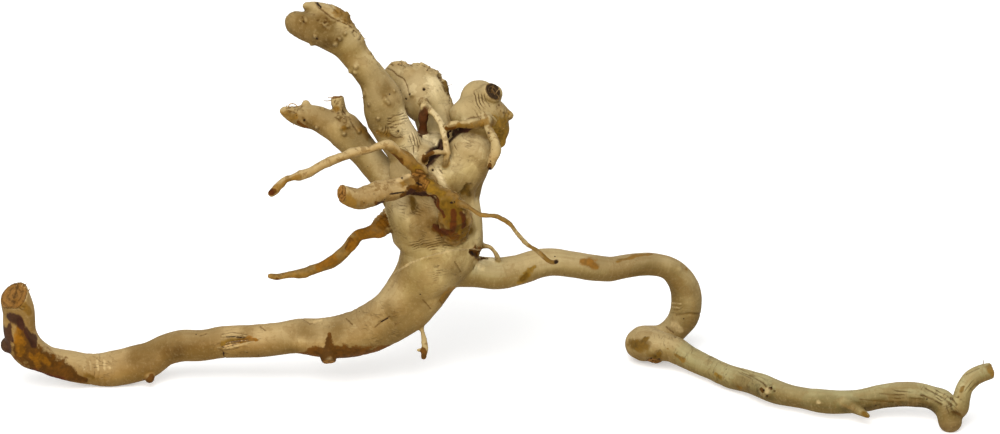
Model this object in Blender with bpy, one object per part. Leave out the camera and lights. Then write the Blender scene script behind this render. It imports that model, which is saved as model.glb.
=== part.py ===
"""A piece of driftwood: one debarked root that stands on three low points.

The root is a branching shape, so it is described limb by limb. Each limb is a list of stations along
its middle line. The limbs become tubes with rounded or cut ends, a voxel remesh melts them into one
body, and a short smoothing fills the crotches where they meet, as wood does where it grows together.
"""
import math

import bmesh
import bpy
import numpy as np
from mathutils import Vector
from mathutils.bvhtree import BVHTree

# Driving dimensions: real sizes in metres.
SEEN_WIDTH = 0.450
VIEW_DISTANCE = 2.5
VIEW_ELEVATION = math.radians(20)
SIGHT_LINE_HEIGHT = 0.0764
VOXEL = 0.0008
RING_SPACING = 0.0016
FOOT_CUT = 0.0005
NUB_HEIGHT = 0.0014
NUB_SINK = 0.0016
SOFTENING_LOSS = 0.00012

# The picture that the stations are measured in: its width in pixels and the pixel at its middle.
PICTURE_WIDTH = 1000
PICTURE_MIDDLE = (500, 217)
PIXEL = SEEN_WIDTH / PICTURE_WIDTH
MM = 0.001

# The three directions of that picture, seen from the front and from above.
ACROSS = np.array((1.0, 0.0, 0.0))
UPWARD = np.array((0.0, math.sin(VIEW_ELEVATION), math.cos(VIEW_ELEVATION)))
TOWARD = np.array((0.0, -math.cos(VIEW_ELEVATION), math.sin(VIEW_ELEVATION)))

SIDES = 18
TRIANGLES = 11400
SMOOTH_STEPS = 5
SEED = 7
BACK_SIDE = -0.15

# Stations: pixels right and pixels down in the picture, millimetres toward the viewer, and the
# half-width in pixels.
LEFT_ROOT_AND_TRUNK = [
    (14.5, 295, 14, 14.2), (17, 304, 10.5, 15.2), (19, 312, 8, 15.6), (19.5, 321, 6, 15.8),
    (20.5, 333, 4, 16), (27, 347.5, 2, 17), (45, 359, -2, 15), (70, 366, -7, 15.8),
    (90, 369, -11, 14.8), (110, 369, -12.5, 17), (130, 365.5, -12, 17.5), (149, 360, -11, 17),
    (165, 350.5, -10, 15.5), (180, 346, -9, 16), (200, 345, -9, 15), (220, 342, -8, 15.7),
    (240, 341, -7, 16.3), (260, 340.5, -6, 17), (280, 338.5, -5, 17), (300, 336.5, -4, 17.5),
    (320, 338, -3, 19), (340, 337, -2, 21.5), (360, 332.5, -1, 23), (380, 323, 0, 25),
    (400, 309, 2, 26.5), (416, 291, 4, 28), (426, 275, 5.5, 30.5), (436, 256, 8, 38.5),
    (438.5, 243, 10.5, 44), (437, 230, 12, 46.5), (434, 215, 15, 47), (431, 200, 18, 45),
    (431, 187, 20, 39), (432, 170, 20, 32), (434, 157, 18, 23),
]
TRUNK_HEEL = [
    (400, 307, 4.5, 21), (417, 284, 8, 24.5), (430, 263, 11.5, 31), (436, 246, 12.3, 38), (436, 228, 11, 42),
]
LEFT_CORNER = [(22, 345, 1, 13), (8.5, 345, 1, 8)]
LEFT_SPUR = [(149, 370, -9, 7), (149.5, 378.5, -8, 4.6)]
LEFT_KNOB = [(327, 348, 1, 10), (329, 362.5, 3, 6.5)]

RIGHT_ROOT = [
    (440, 262, 6, 26), (457, 269, 5, 18.5), (475, 271, 3, 15.8), (500, 273, 1, 15), (520, 269.5, -1, 14.5),
    (540, 263.5, -3, 14), (555, 262.5, -5, 13.5), (570, 264.5, -7, 13), (590, 267.5, -10, 12.5),
    (610, 269, -14, 12), (630, 265.5, -18, 11.5), (650, 264, -23, 11.5), (667, 267.5, -28, 12.3),
    (677.5, 276, -33, 13.3), (684.5, 288, -37, 14.5), (686.5, 302, -40, 15.5), (684.5, 315, -42, 15),
    (677, 327, -44, 13.5), (664, 337.5, -45.5, 14), (647, 342, -44, 17.8), (643.5, 343.2, -37, 18),
    (656, 345, -31, 15), (672, 348.5, -28, 13.2), (690, 358, -24, 11.2), (710, 367.6, -16, 11),
    (730, 376.7, -7, 11), (750, 382.3, 1, 11), (765, 387.5, 9, 12), (780, 393, 15, 11.5),
    (800, 397.2, 21, 11), (820, 400.5, 25, 12), (840, 401.9, 27, 11.7), (860, 401, 28, 11.5),
    (880, 397, 28, 11.5), (900, 394.5, 28.5, 12.3), (915, 394.6, 30, 12.8), (930, 397.3, 31.5, 11.7),
    (942, 402.5, 34.5, 12.5), (948, 411, 37.2, 12), (950, 421, 38.8, 11.5),
]
HAIRPIN_STUB = [(650, 348, -41, 11), (655.5, 357, -43, 8)]
RIGHT_END = [
    (944, 408, 36, 10), (957.5, 409, 39, 10), (961, 399, 41, 8.8), (964.5, 388, 41.5, 8.3),
    (970.5, 379.5, 41, 8.6), (980, 374, 39, 8.4), (991.5, 370.5, 37, 8),
]
RIGHT_THORN = [(850, 405, 30, 6), (860, 411.5, 33, 4), (868.5, 416.5, 36, 2.4)]
RIGHT_KNOT = [(765, 387, 12, 8), (767, 391, 15, 7.5)]

LOBE_TALL = [
    (427, 195, 20, 24), (417, 170, 24, 22), (406.5, 150, 27, 19.3), (394.5, 131, 29, 19),
    (386, 115, 30, 20.3), (382, 99, 31, 19.5), (374, 81, 32, 15.5), (363, 66, 33, 14.8),
    (355.5, 56, 33, 15), (346, 43, 34, 17),
    (335, 35, 35, 18), (322, 30, 35, 16.5), (307, 26.5, 34, 14.3), (297, 23, 33, 12.3),
]
PRONG_TALL = [
    (341, 34, 34, 17.5), (331.5, 22, 34, 17.3), (320, 13.5, 34, 12), (311.5, 8, 34, 7.2), (306.5, 6, 34, 4),
]

LOBE_SIDE = [
    (411, 204, 13, 26), (394, 186, 13, 19), (376, 166.5, 13, 14.8), (365, 153, 14, 14.3),
    (354, 141, 15, 16.8), (343, 129.5, 16, 18.3), (328, 123, 16, 14), (315, 117.5, 16, 12),
    (302, 116, 16, 10.8),
    (292, 114, 16, 8), (284.5, 111, 16, 4.8),
]
STUB_SIDE = [(344, 124, 16, 9), (339.5, 110, 17, 7), (337, 96.5, 18, 6.5)]
BUMP_SIDE = [(307, 112, 16, 8), (306, 104, 16, 4)]

LOBE_BACK = [
    (440, 194, 9, 32), (441, 164, 8, 24), (440, 138, 8, 18.5), (433, 115, 8, 20.3), (424, 98, 8, 25),
    (417, 84, 8, 21),
]
FINGERS_BACK = [
    [(415, 90, 6, 18), (399, 76, 5, 15.5)],
    [(420, 92, 12, 18), (412, 79, 13, 14)],
    [(424, 92, 6, 18), (429, 82, 6, 14)],
    [(428, 98, 11, 18), (435, 91, 13, 14)],
    [(432, 104, 6, 18), (440, 104, 7, 12)],
]

LOBE_BACK_ROOT = [
    (440, 215, 3, 24), (441, 190, 2, 24), (440, 165, 1.5, 20.5), (438, 140, 1, 18), (433, 120, 1.5, 17.5),
    (427, 103, 3, 18),
]
LOBE_WEB = [(424, 192, 22, 32), (418, 172, 25, 29), (418, 156, 25, 24), (421, 146, 22, 15)]

PLATE_FRONT = [
    (452, 224, 18, 25), (453, 205, 21, 24), (453.5, 188, 24, 22.5), (459, 170, 28, 24), (469, 154, 31, 24),
]
LOBE_FRONT = [
    (450, 208, 14, 27), (458, 181, 17, 24), (470, 153, 22, 23), (478, 128, 27, 24.5), (479.5, 110, 30, 28.3),
    (479.5, 99, 29, 19),
]
LOBE_FRONT_BACK = [(474, 146, 19, 20), (478, 126, 21, 23), (479.5, 110, 23, 24), (480, 99, 24, 17.5)]
STUB_FRONT = [(483, 101, 33, 14), (489, 95, 37, 11.5), (494, 91, 40.5, 8.5)]
LIP_FRONT = [(488, 104, 26, 14), (494.5, 94, 26, 8.5)]
NUB_FRONT = [(498, 113, 30, 12.5), (508.5, 115.5, 31, 5)]
CHEEK_FRONT = [(489, 121, 28, 18), (497, 132, 28, 13.5), (499, 141, 28, 7)]

KNOT = [(424, 184, 34, 12), (420.5, 181, 45, 8.5)]
TWIG_LONG = [
    (423, 176, 40, 6.5), (421, 171, 44, 6.2), (412, 164, 47, 6.5), (403, 156, 50, 6), (394, 149, 52, 5),
    (388, 145, 54, 4.8), (380, 146, 55, 4), (370, 149.5, 56, 3.6), (360, 151.5, 57, 4), (350, 154, 58, 4.5),
    (340, 157.5, 59, 4), (330, 161.5, 59, 4), (320, 166.5, 60, 4), (310, 172, 60, 4.5),
    (300, 175.5, 60, 4.5), (292, 177.5, 60, 3.2), (285, 180, 61, 3.5), (280, 185, 61, 4), (275, 190, 61, 4),
    (271.5, 193.5, 61, 3.3),
]
TWIG_THICK = [
    (428, 182, 36, 9), (415, 182, 43, 9.5), (405, 186, 47, 10), (392, 190, 50, 10.5), (380, 192, 53, 10.5),
    (370, 196, 55, 11), (356, 198.5, 57, 9.5), (341, 193, 61, 8.4),
]
TWIG_ARCH = [
    (424, 183, 44, 7), (431, 187, 47, 7), (440, 192, 48, 8), (449, 202, 46, 12), (454, 215, 41, 14.5),
    (454, 229, 33, 15.5), (450, 242, 22, 14),
]
TWIG_TRAILING = [
    (456, 203, 48, 5), (466, 206, 52, 3), (473, 210, 54, 2.3), (480, 214.5, 55, 2.1), (487, 215.5, 55, 2.1),
    (495, 216, 54, 2.1), (502, 219, 52, 2.2), (510, 224, 50, 2.1), (516, 232, 47, 2.1), (522, 239, 44, 2.1),
    (528, 245, 41, 2.1), (536, 250, 38, 2.1), (543, 256, 35, 2.1), (549, 261, 32, 2.1),
    (553, 262.5, 30, 2.1), (557, 261, 28, 2),
]
TWIG_HANGING = [
    (482, 118, 37, 7), (487, 121, 42, 5.5), (488, 128, 46, 4), (491, 134, 48, 4), (495, 141, 49, 4.4),
    (496, 150, 49, 4.6), (493, 158, 48, 4.2), (490, 167, 46, 3.2),
]
TWIG_LYING = [
    (446, 128, 36, 4), (455, 124.5, 40, 4), (465, 124, 42, 4.5), (476, 123.5, 42, 4.8), (487, 122, 40, 5),
]
TWIG_LOWER = [
    (402, 212, 13, 12), (390, 219, 16, 10.5), (378, 229, 19, 9), (367, 233, 20, 5.6), (357, 236, 21, 5.4),
    (352, 243, 21, 6), (345, 251, 22, 6), (338, 257, 22, 6), (330, 263, 22, 5.5), (322, 266.5, 22, 5),
    (312, 270, 22, 4.5), (302, 273.5, 22, 4.5), (292, 274.5, 22, 3.5), (285, 275.5, 22, 3.1),
    (277, 277, 22, 3.1), (270, 276, 22, 2.7),
]
TWIG_BELOW = [
    (419, 312, 3, 6), (421, 326, 4, 3), (424, 340, 5, 2.6), (425, 350, 6, 3.1), (423.5, 357, 6, 2.6),
]
THORN_BELOW = [(424, 350, 6, 2.4), (418.5, 350, 7, 2)]
TWIG_PALE = [
    (421, 99, 15, 5), (427, 106, 23, 3.6), (432, 112, 28, 3.2), (438, 119, 32, 3.1), (442, 126, 35, 3.1),
    (444, 135, 38, 3.1), (446, 145, 40, 3.2), (447, 153, 40, 3.4), (446, 160, 38, 3.2), (446, 167, 33, 3.4),
]
TWIG_HOOK = [
    (447, 154, 40, 2.6), (440, 152, 42, 2.2), (432, 153, 42, 2.2), (427, 156, 40, 2.4), (424, 161, 34, 2.6),
]
STUB_RED = [(422, 142, 18, 6), (423, 128, 23, 4.6), (423.5, 116, 26, 4.4), (424, 107, 28, 4)]
TWIG_CROTCH = [
    (476, 247, 5, 3), (485, 246, 8, 2.1), (489, 246.5, 9, 2.1), (493, 250, 9, 2.1), (497, 256, 8, 2.1),
    (499, 264, 4, 2.6),
]

# Directions that the cut faces look in: shares across, upward and toward the viewer.
CUT_LEFT = (-0.40, 0.42, 0.81)
CUT_RIGHT = (0.92, 0.25, -0.30)
CUT_THICK = (-0.80, 0.10, 0.60)
CUT_FRONT = (0.55, 0.42, 0.72)
CUT_SIDE = (-0.15, 0.97, 0.20)
CUT_KNOT = (-0.15, 0.05, 0.98)
CUT_HAIRPIN = (0.25, -0.90, -0.35)
CUT_KNOB = (0.05, -0.95, 0.30)

# Every limb: stations, look of its first end, look of its last end, and depth as a share of width.
# A look is ROUND, or the direction that a cut face looks in.
ROUND = None
LIMBS = [
    (LEFT_ROOT_AND_TRUNK, CUT_LEFT, ROUND, 0.92), (LEFT_CORNER, ROUND, ROUND, 1.0),
    (LEFT_SPUR, ROUND, ROUND, 1.0), (LEFT_KNOB, ROUND, CUT_KNOB, 1.0),
    (RIGHT_ROOT, ROUND, ROUND, 1.0), (HAIRPIN_STUB, ROUND, CUT_HAIRPIN, 1.0),
    (RIGHT_END, ROUND, CUT_RIGHT, 1.0), (RIGHT_THORN, ROUND, ROUND, 1.0), (RIGHT_KNOT, ROUND, ROUND, 1.0),
    (LOBE_TALL, ROUND, ROUND, 0.85), (PRONG_TALL, ROUND, ROUND, 0.9),
    (LOBE_SIDE, ROUND, ROUND, 0.85), (STUB_SIDE, ROUND, CUT_SIDE, 0.9), (BUMP_SIDE, ROUND, ROUND, 1.0),
    (LOBE_BACK, ROUND, ROUND, 0.75), (LOBE_FRONT, ROUND, ROUND, 0.85), (STUB_FRONT, ROUND, CUT_FRONT, 1.0),
    (LIP_FRONT, ROUND, ROUND, 1.0), (NUB_FRONT, ROUND, ROUND, 1.0), (CHEEK_FRONT, ROUND, ROUND, 1.0),
    (KNOT, ROUND, CUT_KNOT, 1.0), (TWIG_LONG, ROUND, ROUND, 1.0), (TWIG_THICK, ROUND, CUT_THICK, 1.0),
    (TWIG_ARCH, ROUND, ROUND, 1.0), (TWIG_TRAILING, ROUND, ROUND, 1.0), (TWIG_HANGING, ROUND, ROUND, 1.0),
    (TWIG_LYING, ROUND, ROUND, 1.0), (TWIG_LOWER, ROUND, ROUND, 1.0), (TWIG_BELOW, ROUND, ROUND, 1.0),
    (THORN_BELOW, ROUND, ROUND, 1.0), (TWIG_PALE, ROUND, ROUND, 1.0), (TWIG_HOOK, ROUND, ROUND, 1.0),
    (STUB_RED, ROUND, ROUND, 0.8), (TWIG_CROTCH, ROUND, ROUND, 1.0), (TRUNK_HEEL, ROUND, ROUND, 1.0),
    (LOBE_WEB, ROUND, ROUND, 0.85), (PLATE_FRONT, ROUND, ROUND, 0.8),
    (LOBE_FRONT_BACK, ROUND, ROUND, 1.0), (LOBE_BACK_ROOT, ROUND, ROUND, 1.0),
] + [(finger, ROUND, ROUND, 0.9) for finger in FINGERS_BACK]

# Nubs that show: pixels right and down, millimetres toward the viewer, half-width in pixels.
SEEN_NUBS = [
    (311, 46, 36, 3.2), (347, 74, 36, 3), (352, 75, 40, 2.6), (361, 95, 36, 3), (373, 50, 36, 3),
    (314, 37, 42, 2.6), (335, 46, 44, 2.6), (340, 39, 44, 2.8), (354, 68, 41, 3), (388, 100, 42, 2.8),
    (366, 105, 38, 2.8), (347, 14, 36, 3.4), (325, 24, 42, 3), (342, 128, 26, 3), (344, 135, 26, 2.8),
    (322, 111, 18, 3), (360, 131, 22, 3), (316, 128, 20, 2.8), (409, 93, 22, 3), (405, 98, 22, 3),
    (392, 62, 8, 3.4), (422, 65, 10, 3.4), (438, 72, 10, 3.4), (448, 88, 12, 3.2), (352, 235, 24, 2.8),
]
# Limbs that carry nubs all round, and the stretch of each that does, as shares of its length.
NUBBED_LIMBS = [(LOBE_TALL, 0.35, 0.98, 26), (LOBE_SIDE, 0.40, 0.95, 16), (LOBE_BACK, 0.45, 1.0, 20)]


def clear_scene():
    """Removes whatever the file opened with."""
    for item in list(bpy.data.objects):
        bpy.data.objects.remove(item)


def place(stations):
    """Returns the stations' positions in space and their half-widths, in metres.

    A station lies on the line of sight through its pixel. What stands nearer the viewer looks larger,
    so its true distance from the sight line's middle and its true width shrink by the same share.
    """
    table = np.array(stations, dtype=float)
    toward = table[:, 2:3] * MM
    share = (VIEW_DISTANCE - toward) / VIEW_DISTANCE
    across = (table[:, 0:1] - PICTURE_MIDDLE[0]) * PIXEL * share
    upward = (PICTURE_MIDDLE[1] - table[:, 1:2]) * PIXEL * share
    centres = across * ACROSS + upward * UPWARD + toward * TOWARD
    centres[:, 2] += SIGHT_LINE_HEIGHT
    return centres, table[:, 3] * PIXEL * share[:, 0] + SOFTENING_LOSS


def direction(shares):
    """Turns shares across, upward and toward the viewer into a unit direction in space."""
    vector = shares[0] * ACROSS + shares[1] * UPWARD + shares[2] * TOWARD
    return vector / np.linalg.norm(vector)


def smooth_route(stations):
    """Carries a smooth curve through the stations and returns evenly spaced centres and half-widths.

    Each stretch is a cubic that leaves and meets its stations with the slope of their neighbours.
    """
    centres, widths = place(stations)
    values = np.column_stack((centres, widths))
    steps = np.linalg.norm(np.diff(centres, axis=0), axis=1)
    knots = np.concatenate(([0.0], np.cumsum(steps)))
    slopes = np.gradient(values, knots, axis=0)
    along = np.linspace(0.0, knots[-1], max(3, math.ceil(knots[-1] / RING_SPACING) + 1))
    stretch = np.clip(np.searchsorted(knots, along, side="right") - 1, 0, len(steps) - 1)
    step = steps[stretch][:, None]
    t = (along - knots[stretch])[:, None] / step
    start = (2 * t**3 - 3 * t**2 + 1) * values[stretch] + (t**3 - 2 * t**2 + t) * step * slopes[stretch]
    end = (3 * t**2 - 2 * t**3) * values[stretch + 1] + (t**3 - t**2) * step * slopes[stretch + 1]
    route = start + end
    return route[:, :3], route[:, 3], along


def unit(vectors):
    """Scales vectors to length one."""
    return vectors / np.linalg.norm(vectors, axis=-1, keepdims=True)


def ring_frames(centres):
    """Returns the tangent and two directions across it at each centre, carried along without a twist."""
    tangents = unit(np.gradient(centres, axis=0))
    side = np.cross(tangents[0], TOWARD if abs(tangents[0] @ TOWARD) < 0.8 else UPWARD)
    sides = []
    for tangent in tangents:
        side = unit(side - (side @ tangent) * tangent)
        sides.append(side)
    sides = np.array(sides)
    return tangents, sides, np.cross(tangents, sides)


def swelling(along, around, phase):
    """Share by which a limb's radius grows: slow waves along it and shallow flutes winding round it."""
    waves = np.sin(along / 0.0083 + phase) + 0.7 * np.sin(along / 0.0041 + 2.3 * phase)
    flutes = np.sin(3 * around + along / 0.013 + 1.7 * phase) + np.sin(2 * around - along / 0.021 + phase)
    return 0.022 * waves + 0.024 * flutes


def tube(stations, first_end, last_end, depth, phase):
    """Builds one limb: rings of points round its middle line, closed by a dome or a flat cut at each end."""
    centres, radii, along = smooth_route(stations)
    tangents, sides, ups = ring_frames(centres)
    angles = np.linspace(0.0, 2 * math.pi, SIDES, endpoint=False)
    rows = [centres, radii, along, tangents, sides, ups]
    if first_end is ROUND:
        rows = add_dome(rows, True)
    if last_end is ROUND:
        rows = add_dome(rows, False)
    centres, radii, along, tangents, sides, ups = rows
    spokes = (np.cos(angles)[None, :, None] * sides[:, None, :]
              + np.sin(angles)[None, :, None] * ups[:, None, :])
    toward = TOWARD - (tangents @ TOWARD)[:, None] * tangents
    spokes += (depth - 1.0) * (spokes @ TOWARD)[:, :, None] * toward[:, None, :]
    growth = 1.0 + swelling(along[:, None], angles[None, :], phase)
    rings = centres[:, None, :] + spokes * (radii[:, None] * growth)[:, :, None]
    if first_end is not ROUND:
        rings[0] = slide_to_plane(rings[0], centres[0], tangents[0], direction(first_end))
    if last_end is not ROUND:
        rings[-1] = slide_to_plane(rings[-1], centres[-1], tangents[-1], direction(last_end))
    return rings


def add_dome(rows, at_start):
    """Adds three shrinking rings beyond an end, on a half ball as wide as the end."""
    centres, radii, along, tangents, sides, ups = rows
    end = 0 if at_start else -1
    sign = -1.0 if at_start else 1.0
    rises = np.radians((30.0, 58.0, 80.0))
    more_centres = centres[end] + sign * radii[end] * np.sin(rises)[:, None] * tangents[end]
    more_radii = radii[end] * np.cos(rises)
    more_along = np.full(3, along[end])
    more_frames = [np.repeat(frame[end][None, :], 3, axis=0) for frame in (tangents, sides, ups)]
    more = [more_centres, more_radii, more_along] + more_frames
    if at_start:
        return [np.concatenate((extra[::-1], row)) for extra, row in zip(more, rows)]
    return [np.concatenate((row, extra)) for extra, row in zip(more, rows)]


def slide_to_plane(ring, centre, tangent, normal):
    """Slides a ring's points along the limb onto a plane through its centre, for a slanting cut."""
    offset = (centre - ring) @ normal / (tangent @ normal)
    return ring + offset[:, None] * tangent


def add_rings(work, rings):
    """Adds a limb to the mesh: quads between neighbouring rings and a fan over each end."""
    verts = [[work.verts.new(point) for point in ring] for ring in rings]
    for ring, following in zip(verts, verts[1:]):
        for i in range(SIDES):
            j = (i + 1) % SIDES
            work.faces.new((ring[i], ring[j], following[j], following[i]))
    work.faces.new(reversed(verts[0]))
    work.faces.new(verts[-1])


def rough_mesh(limbs):
    """All the limbs as overlapping closed tubes in one mesh."""
    work = bmesh.new()
    for number, (stations, first_end, last_end, depth) in enumerate(limbs):
        add_rings(work, tube(stations, first_end, last_end, depth, float(number)))
    bmesh.ops.recalc_face_normals(work, faces=work.faces)
    return work


def add_nub(work, surface, point, width):
    """Adds a small blunt nub where the surface is nearest to the point, its root sunk into the wood."""
    spot, normal, _, _ = surface.find_nearest(Vector(point))
    root = spot - normal * NUB_SINK
    turn = Vector((0, 0, 1)).rotation_difference(normal).to_matrix().to_4x4()
    turn.translation = root
    made = bmesh.ops.create_cone(work, cap_ends=True, segments=8, radius1=1.35 * width, radius2=0.7 * width,
                                 depth=NUB_SINK + NUB_HEIGHT)
    for vert in made["verts"]:
        vert.co.z += (NUB_SINK + NUB_HEIGHT) / 2
        vert.co = turn @ vert.co


def add_nubs(work):
    """Adds the nubs that show, then a seeded scatter of others all round the lobes that carry them."""
    surface = BVHTree.FromBMesh(work)
    centres, widths = place(SEEN_NUBS)
    for centre, width in zip(centres, widths):
        add_nub(work, surface, centre, width)
    rng = np.random.default_rng(SEED)
    for stations, low, high, count in NUBBED_LIMBS:
        centres, radii, _ = smooth_route(stations)
        tangents, sides, ups = ring_frames(centres)
        for _ in range(count):
            at = int(rng.uniform(low, high) * (len(centres) - 1))
            angle = rng.uniform(0.0, 2 * math.pi)
            out = math.cos(angle) * sides[at] + math.sin(angle) * ups[at]
            width = rng.uniform(2.2, 3.2) * PIXEL
            if out @ TOWARD < BACK_SIDE:
                add_nub(work, surface, centres[at] + out * radii[at], width)


def evaluated_mesh(piece):
    """Reads an object's mesh with its modifiers applied."""
    graph = bpy.context.evaluated_depsgraph_get()
    return bpy.data.meshes.new_from_object(piece.evaluated_get(graph))


def melted_mesh(work):
    """Melts the overlapping limbs into one skin, smooths the crotches and thins the mesh out."""
    mesh = bpy.data.meshes.new("limbs")
    work.to_mesh(mesh)
    work.free()
    guide = bpy.data.objects.new("limbs", mesh)
    bpy.context.scene.collection.objects.link(guide)
    remesh = guide.modifiers.new("melt", "REMESH")
    remesh.mode = "VOXEL"
    remesh.voxel_size = VOXEL
    smooth = guide.modifiers.new("soften", "SMOOTH")
    smooth.factor = 0.5
    smooth.iterations = SMOOTH_STEPS
    skin = evaluated_mesh(guide)
    guide.modifiers.clear()
    guide.data = largest_body(skin)
    thin = guide.modifiers.new("thin", "DECIMATE")
    thin.ratio = TRIANGLES / (2 * len(guide.data.polygons))
    thin.use_collapse_triangulate = True
    result = evaluated_mesh(guide)
    bpy.data.objects.remove(guide)
    return result


def largest_body(mesh):
    """Keeps the outer skin and drops any closed pocket that the melting left inside."""
    work = bmesh.new()
    work.from_mesh(mesh)
    work.verts.ensure_lookup_table()
    waiting = set(work.verts)
    bodies = []
    while waiting:
        edge_of_body = [waiting.pop()]
        body = set(edge_of_body)
        while edge_of_body:
            vert = edge_of_body.pop()
            for edge in vert.link_edges:
                other = edge.other_vert(vert)
                if other in waiting:
                    waiting.remove(other)
                    body.add(other)
                    edge_of_body.append(other)
        bodies.append(body)
    bodies.sort(key=len, reverse=True)
    for body in bodies[1:]:
        bmesh.ops.delete(work, geom=list(body), context="VERTS")
    work.to_mesh(mesh)
    work.free()
    return mesh


def flatten_feet(work):
    """Cuts the lowest points level, so that the wood rests on small flat spots."""
    lowest = min(vert.co.z for vert in work.verts)
    everything = work.verts[:] + work.edges[:] + work.faces[:]
    cut = bmesh.ops.bisect_plane(work, geom=everything, dist=1e-7, plane_co=(0, 0, lowest + FOOT_CUT),
                                 plane_no=(0, 0, 1), clear_inner=True)
    rim = [item for item in cut["geom_cut"] if isinstance(item, bmesh.types.BMEdge)]
    bmesh.ops.holes_fill(work, edges=rim, sides=0)
    bmesh.ops.triangulate(work, faces=work.faces[:])
    bmesh.ops.recalc_face_normals(work, faces=work.faces[:])


def centre_on_floor(work):
    """Moves the wood so that the middle of its box stands over the origin and its feet at zero."""
    points = np.array([vert.co[:] for vert in work.verts])
    low = points.min(axis=0)
    high = points.max(axis=0)
    shift = Vector((-(low[0] + high[0]) / 2, -(low[1] + high[1]) / 2, -low[2]))
    bmesh.ops.translate(work, verts=work.verts[:], vec=shift)


def wood_material():
    """Pale tan weathered wood without its bark."""
    material = bpy.data.materials.new("pale_wood")
    material.use_nodes = True
    shader = material.node_tree.nodes["Principled BSDF"]
    shader.inputs["Base Color"].default_value = (0.40, 0.27, 0.12, 1.0)
    shader.inputs["Roughness"].default_value = 0.75
    shader.inputs["Metallic"].default_value = 0.0
    return material


def make_driftwood():
    """Makes the one piece of wood."""
    work = rough_mesh(LIMBS)
    add_nubs(work)
    mesh = melted_mesh(work)
    mesh.name = "driftwood"
    shape = bmesh.new()
    shape.from_mesh(mesh)
    flatten_feet(shape)
    centre_on_floor(shape)
    shape.to_mesh(mesh)
    shape.free()
    mesh.shade_smooth()
    mesh.materials.clear()
    mesh.materials.append(wood_material())
    wood = bpy.data.objects.new("driftwood", mesh)
    bpy.context.scene.collection.objects.link(wood)
    return wood


clear_scene()
make_driftwood()
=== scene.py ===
# %% [markdown]
# # A piece of driftwood
# This is one debarked root, about 44 cm long: a thick trunk with a knobbly forked crown, fine side
# twigs, and two long crooked roots that it stands on. It grew as one piece, so it is built as one
# skin. The lesson carries round profiles along the middle line of every limb, melts them together,
# carves the wrinkles, pits and cracks into that skin with arrays of numbers, and then paints it with
# a material made of nodes. A sculpting brush would do the same by hand, but a script can be read,
# changed and run again.

import math

import bpy
import numpy as np
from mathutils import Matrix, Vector
from mathutils.bvhtree import BVHTree


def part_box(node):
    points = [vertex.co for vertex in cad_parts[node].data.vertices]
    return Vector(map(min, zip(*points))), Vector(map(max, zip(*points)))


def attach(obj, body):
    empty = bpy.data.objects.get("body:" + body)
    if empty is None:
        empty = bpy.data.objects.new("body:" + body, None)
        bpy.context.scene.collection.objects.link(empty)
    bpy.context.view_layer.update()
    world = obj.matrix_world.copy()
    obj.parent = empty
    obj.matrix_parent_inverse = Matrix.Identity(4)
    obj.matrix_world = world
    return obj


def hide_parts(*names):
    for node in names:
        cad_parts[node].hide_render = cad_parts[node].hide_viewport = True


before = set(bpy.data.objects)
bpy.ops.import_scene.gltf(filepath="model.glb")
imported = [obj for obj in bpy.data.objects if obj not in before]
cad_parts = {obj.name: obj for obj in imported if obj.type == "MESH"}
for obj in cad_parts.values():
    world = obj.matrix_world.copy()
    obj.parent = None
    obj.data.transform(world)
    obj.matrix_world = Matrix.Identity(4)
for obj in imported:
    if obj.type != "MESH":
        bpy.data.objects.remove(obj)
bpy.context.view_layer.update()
wood_low, wood_high = (np.array(corner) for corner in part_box("driftwood"))
print("the wood's solid measures", np.round((wood_high - wood_low) * 1000, 1), "mm")

# %% [markdown]
# ## Sight lines
# The limbs of a root follow no rule, so their places are listed one by one. Each one is written down as
# stations: how far right and down it shows in a picture 1000 pixels wide, and how far it stands toward
# the viewer. A station then lies on the line of sight through its pixel. The camera at the end of the
# lesson uses the same sight lines, so what is placed here shows where it was seen.

# %% Sight lines
MM = 0.001
SEEN_WIDTH = 0.450
PICTURE_WIDTH = 1000
PIXEL = SEEN_WIDTH / PICTURE_WIDTH
PICTURE_MIDDLE = (500, 217)
VIEW_DISTANCE = 2.5
VIEW_ELEVATION = math.radians(20)
SIGHT_LINE_HEIGHT = 0.0764
# Smoothing the skin takes this much off a limb's half-width, so it is added beforehand.
SOFTENING_LOSS = 0.00012

ACROSS = np.array((1.0, 0.0, 0.0))
UPWARD = np.array((0.0, math.sin(VIEW_ELEVATION), math.cos(VIEW_ELEVATION)))
TOWARD = np.array((0.0, -math.cos(VIEW_ELEVATION), math.sin(VIEW_ELEVATION)))


def place(stations):
    """Positions and half-widths of stations, in metres.

    A station stands its distance toward the viewer on the sight line of its pixel. What is nearer looks
    larger, so offsets and widths shrink by the share (view distance - toward) / view distance.
    """
    table = np.array(stations, dtype=float)
    toward = table[:, 2:3] * MM
    share = (VIEW_DISTANCE - toward) / VIEW_DISTANCE
    across = (table[:, 0:1] - PICTURE_MIDDLE[0]) * PIXEL * share
    upward = (PICTURE_MIDDLE[1] - table[:, 1:2]) * PIXEL * share
    centres = across * ACROSS + upward * UPWARD + toward * TOWARD
    centres[:, 2] += SIGHT_LINE_HEIGHT
    return centres, table[:, 3] * PIXEL * share[:, 0] + SOFTENING_LOSS


def seen_at(points):
    """The way back: the pixels right and down that points show at, and their distance toward the viewer."""
    local = points - np.array((0.0, 0.0, SIGHT_LINE_HEIGHT))
    toward = local @ TOWARD
    scale = PIXEL * (VIEW_DISTANCE - toward) / VIEW_DISTANCE
    right = local @ ACROSS / scale + PICTURE_MIDDLE[0]
    down = PICTURE_MIDDLE[1] - local @ UPWARD / scale
    return right, down, toward


print("one pixel stands for", round(PIXEL / MM, 3), "mm at the middle of the wood")

# %% [markdown]
# ## The limbs
# A real root swells and pinches along its length, so each station also has a half-width. Between
# stations the tube follows a smooth curve. Ten points would do for a bent pipe; a crooked root needs one
# wherever it turns or changes girth. Cut ends get the direction that the saw left them facing in.

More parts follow.
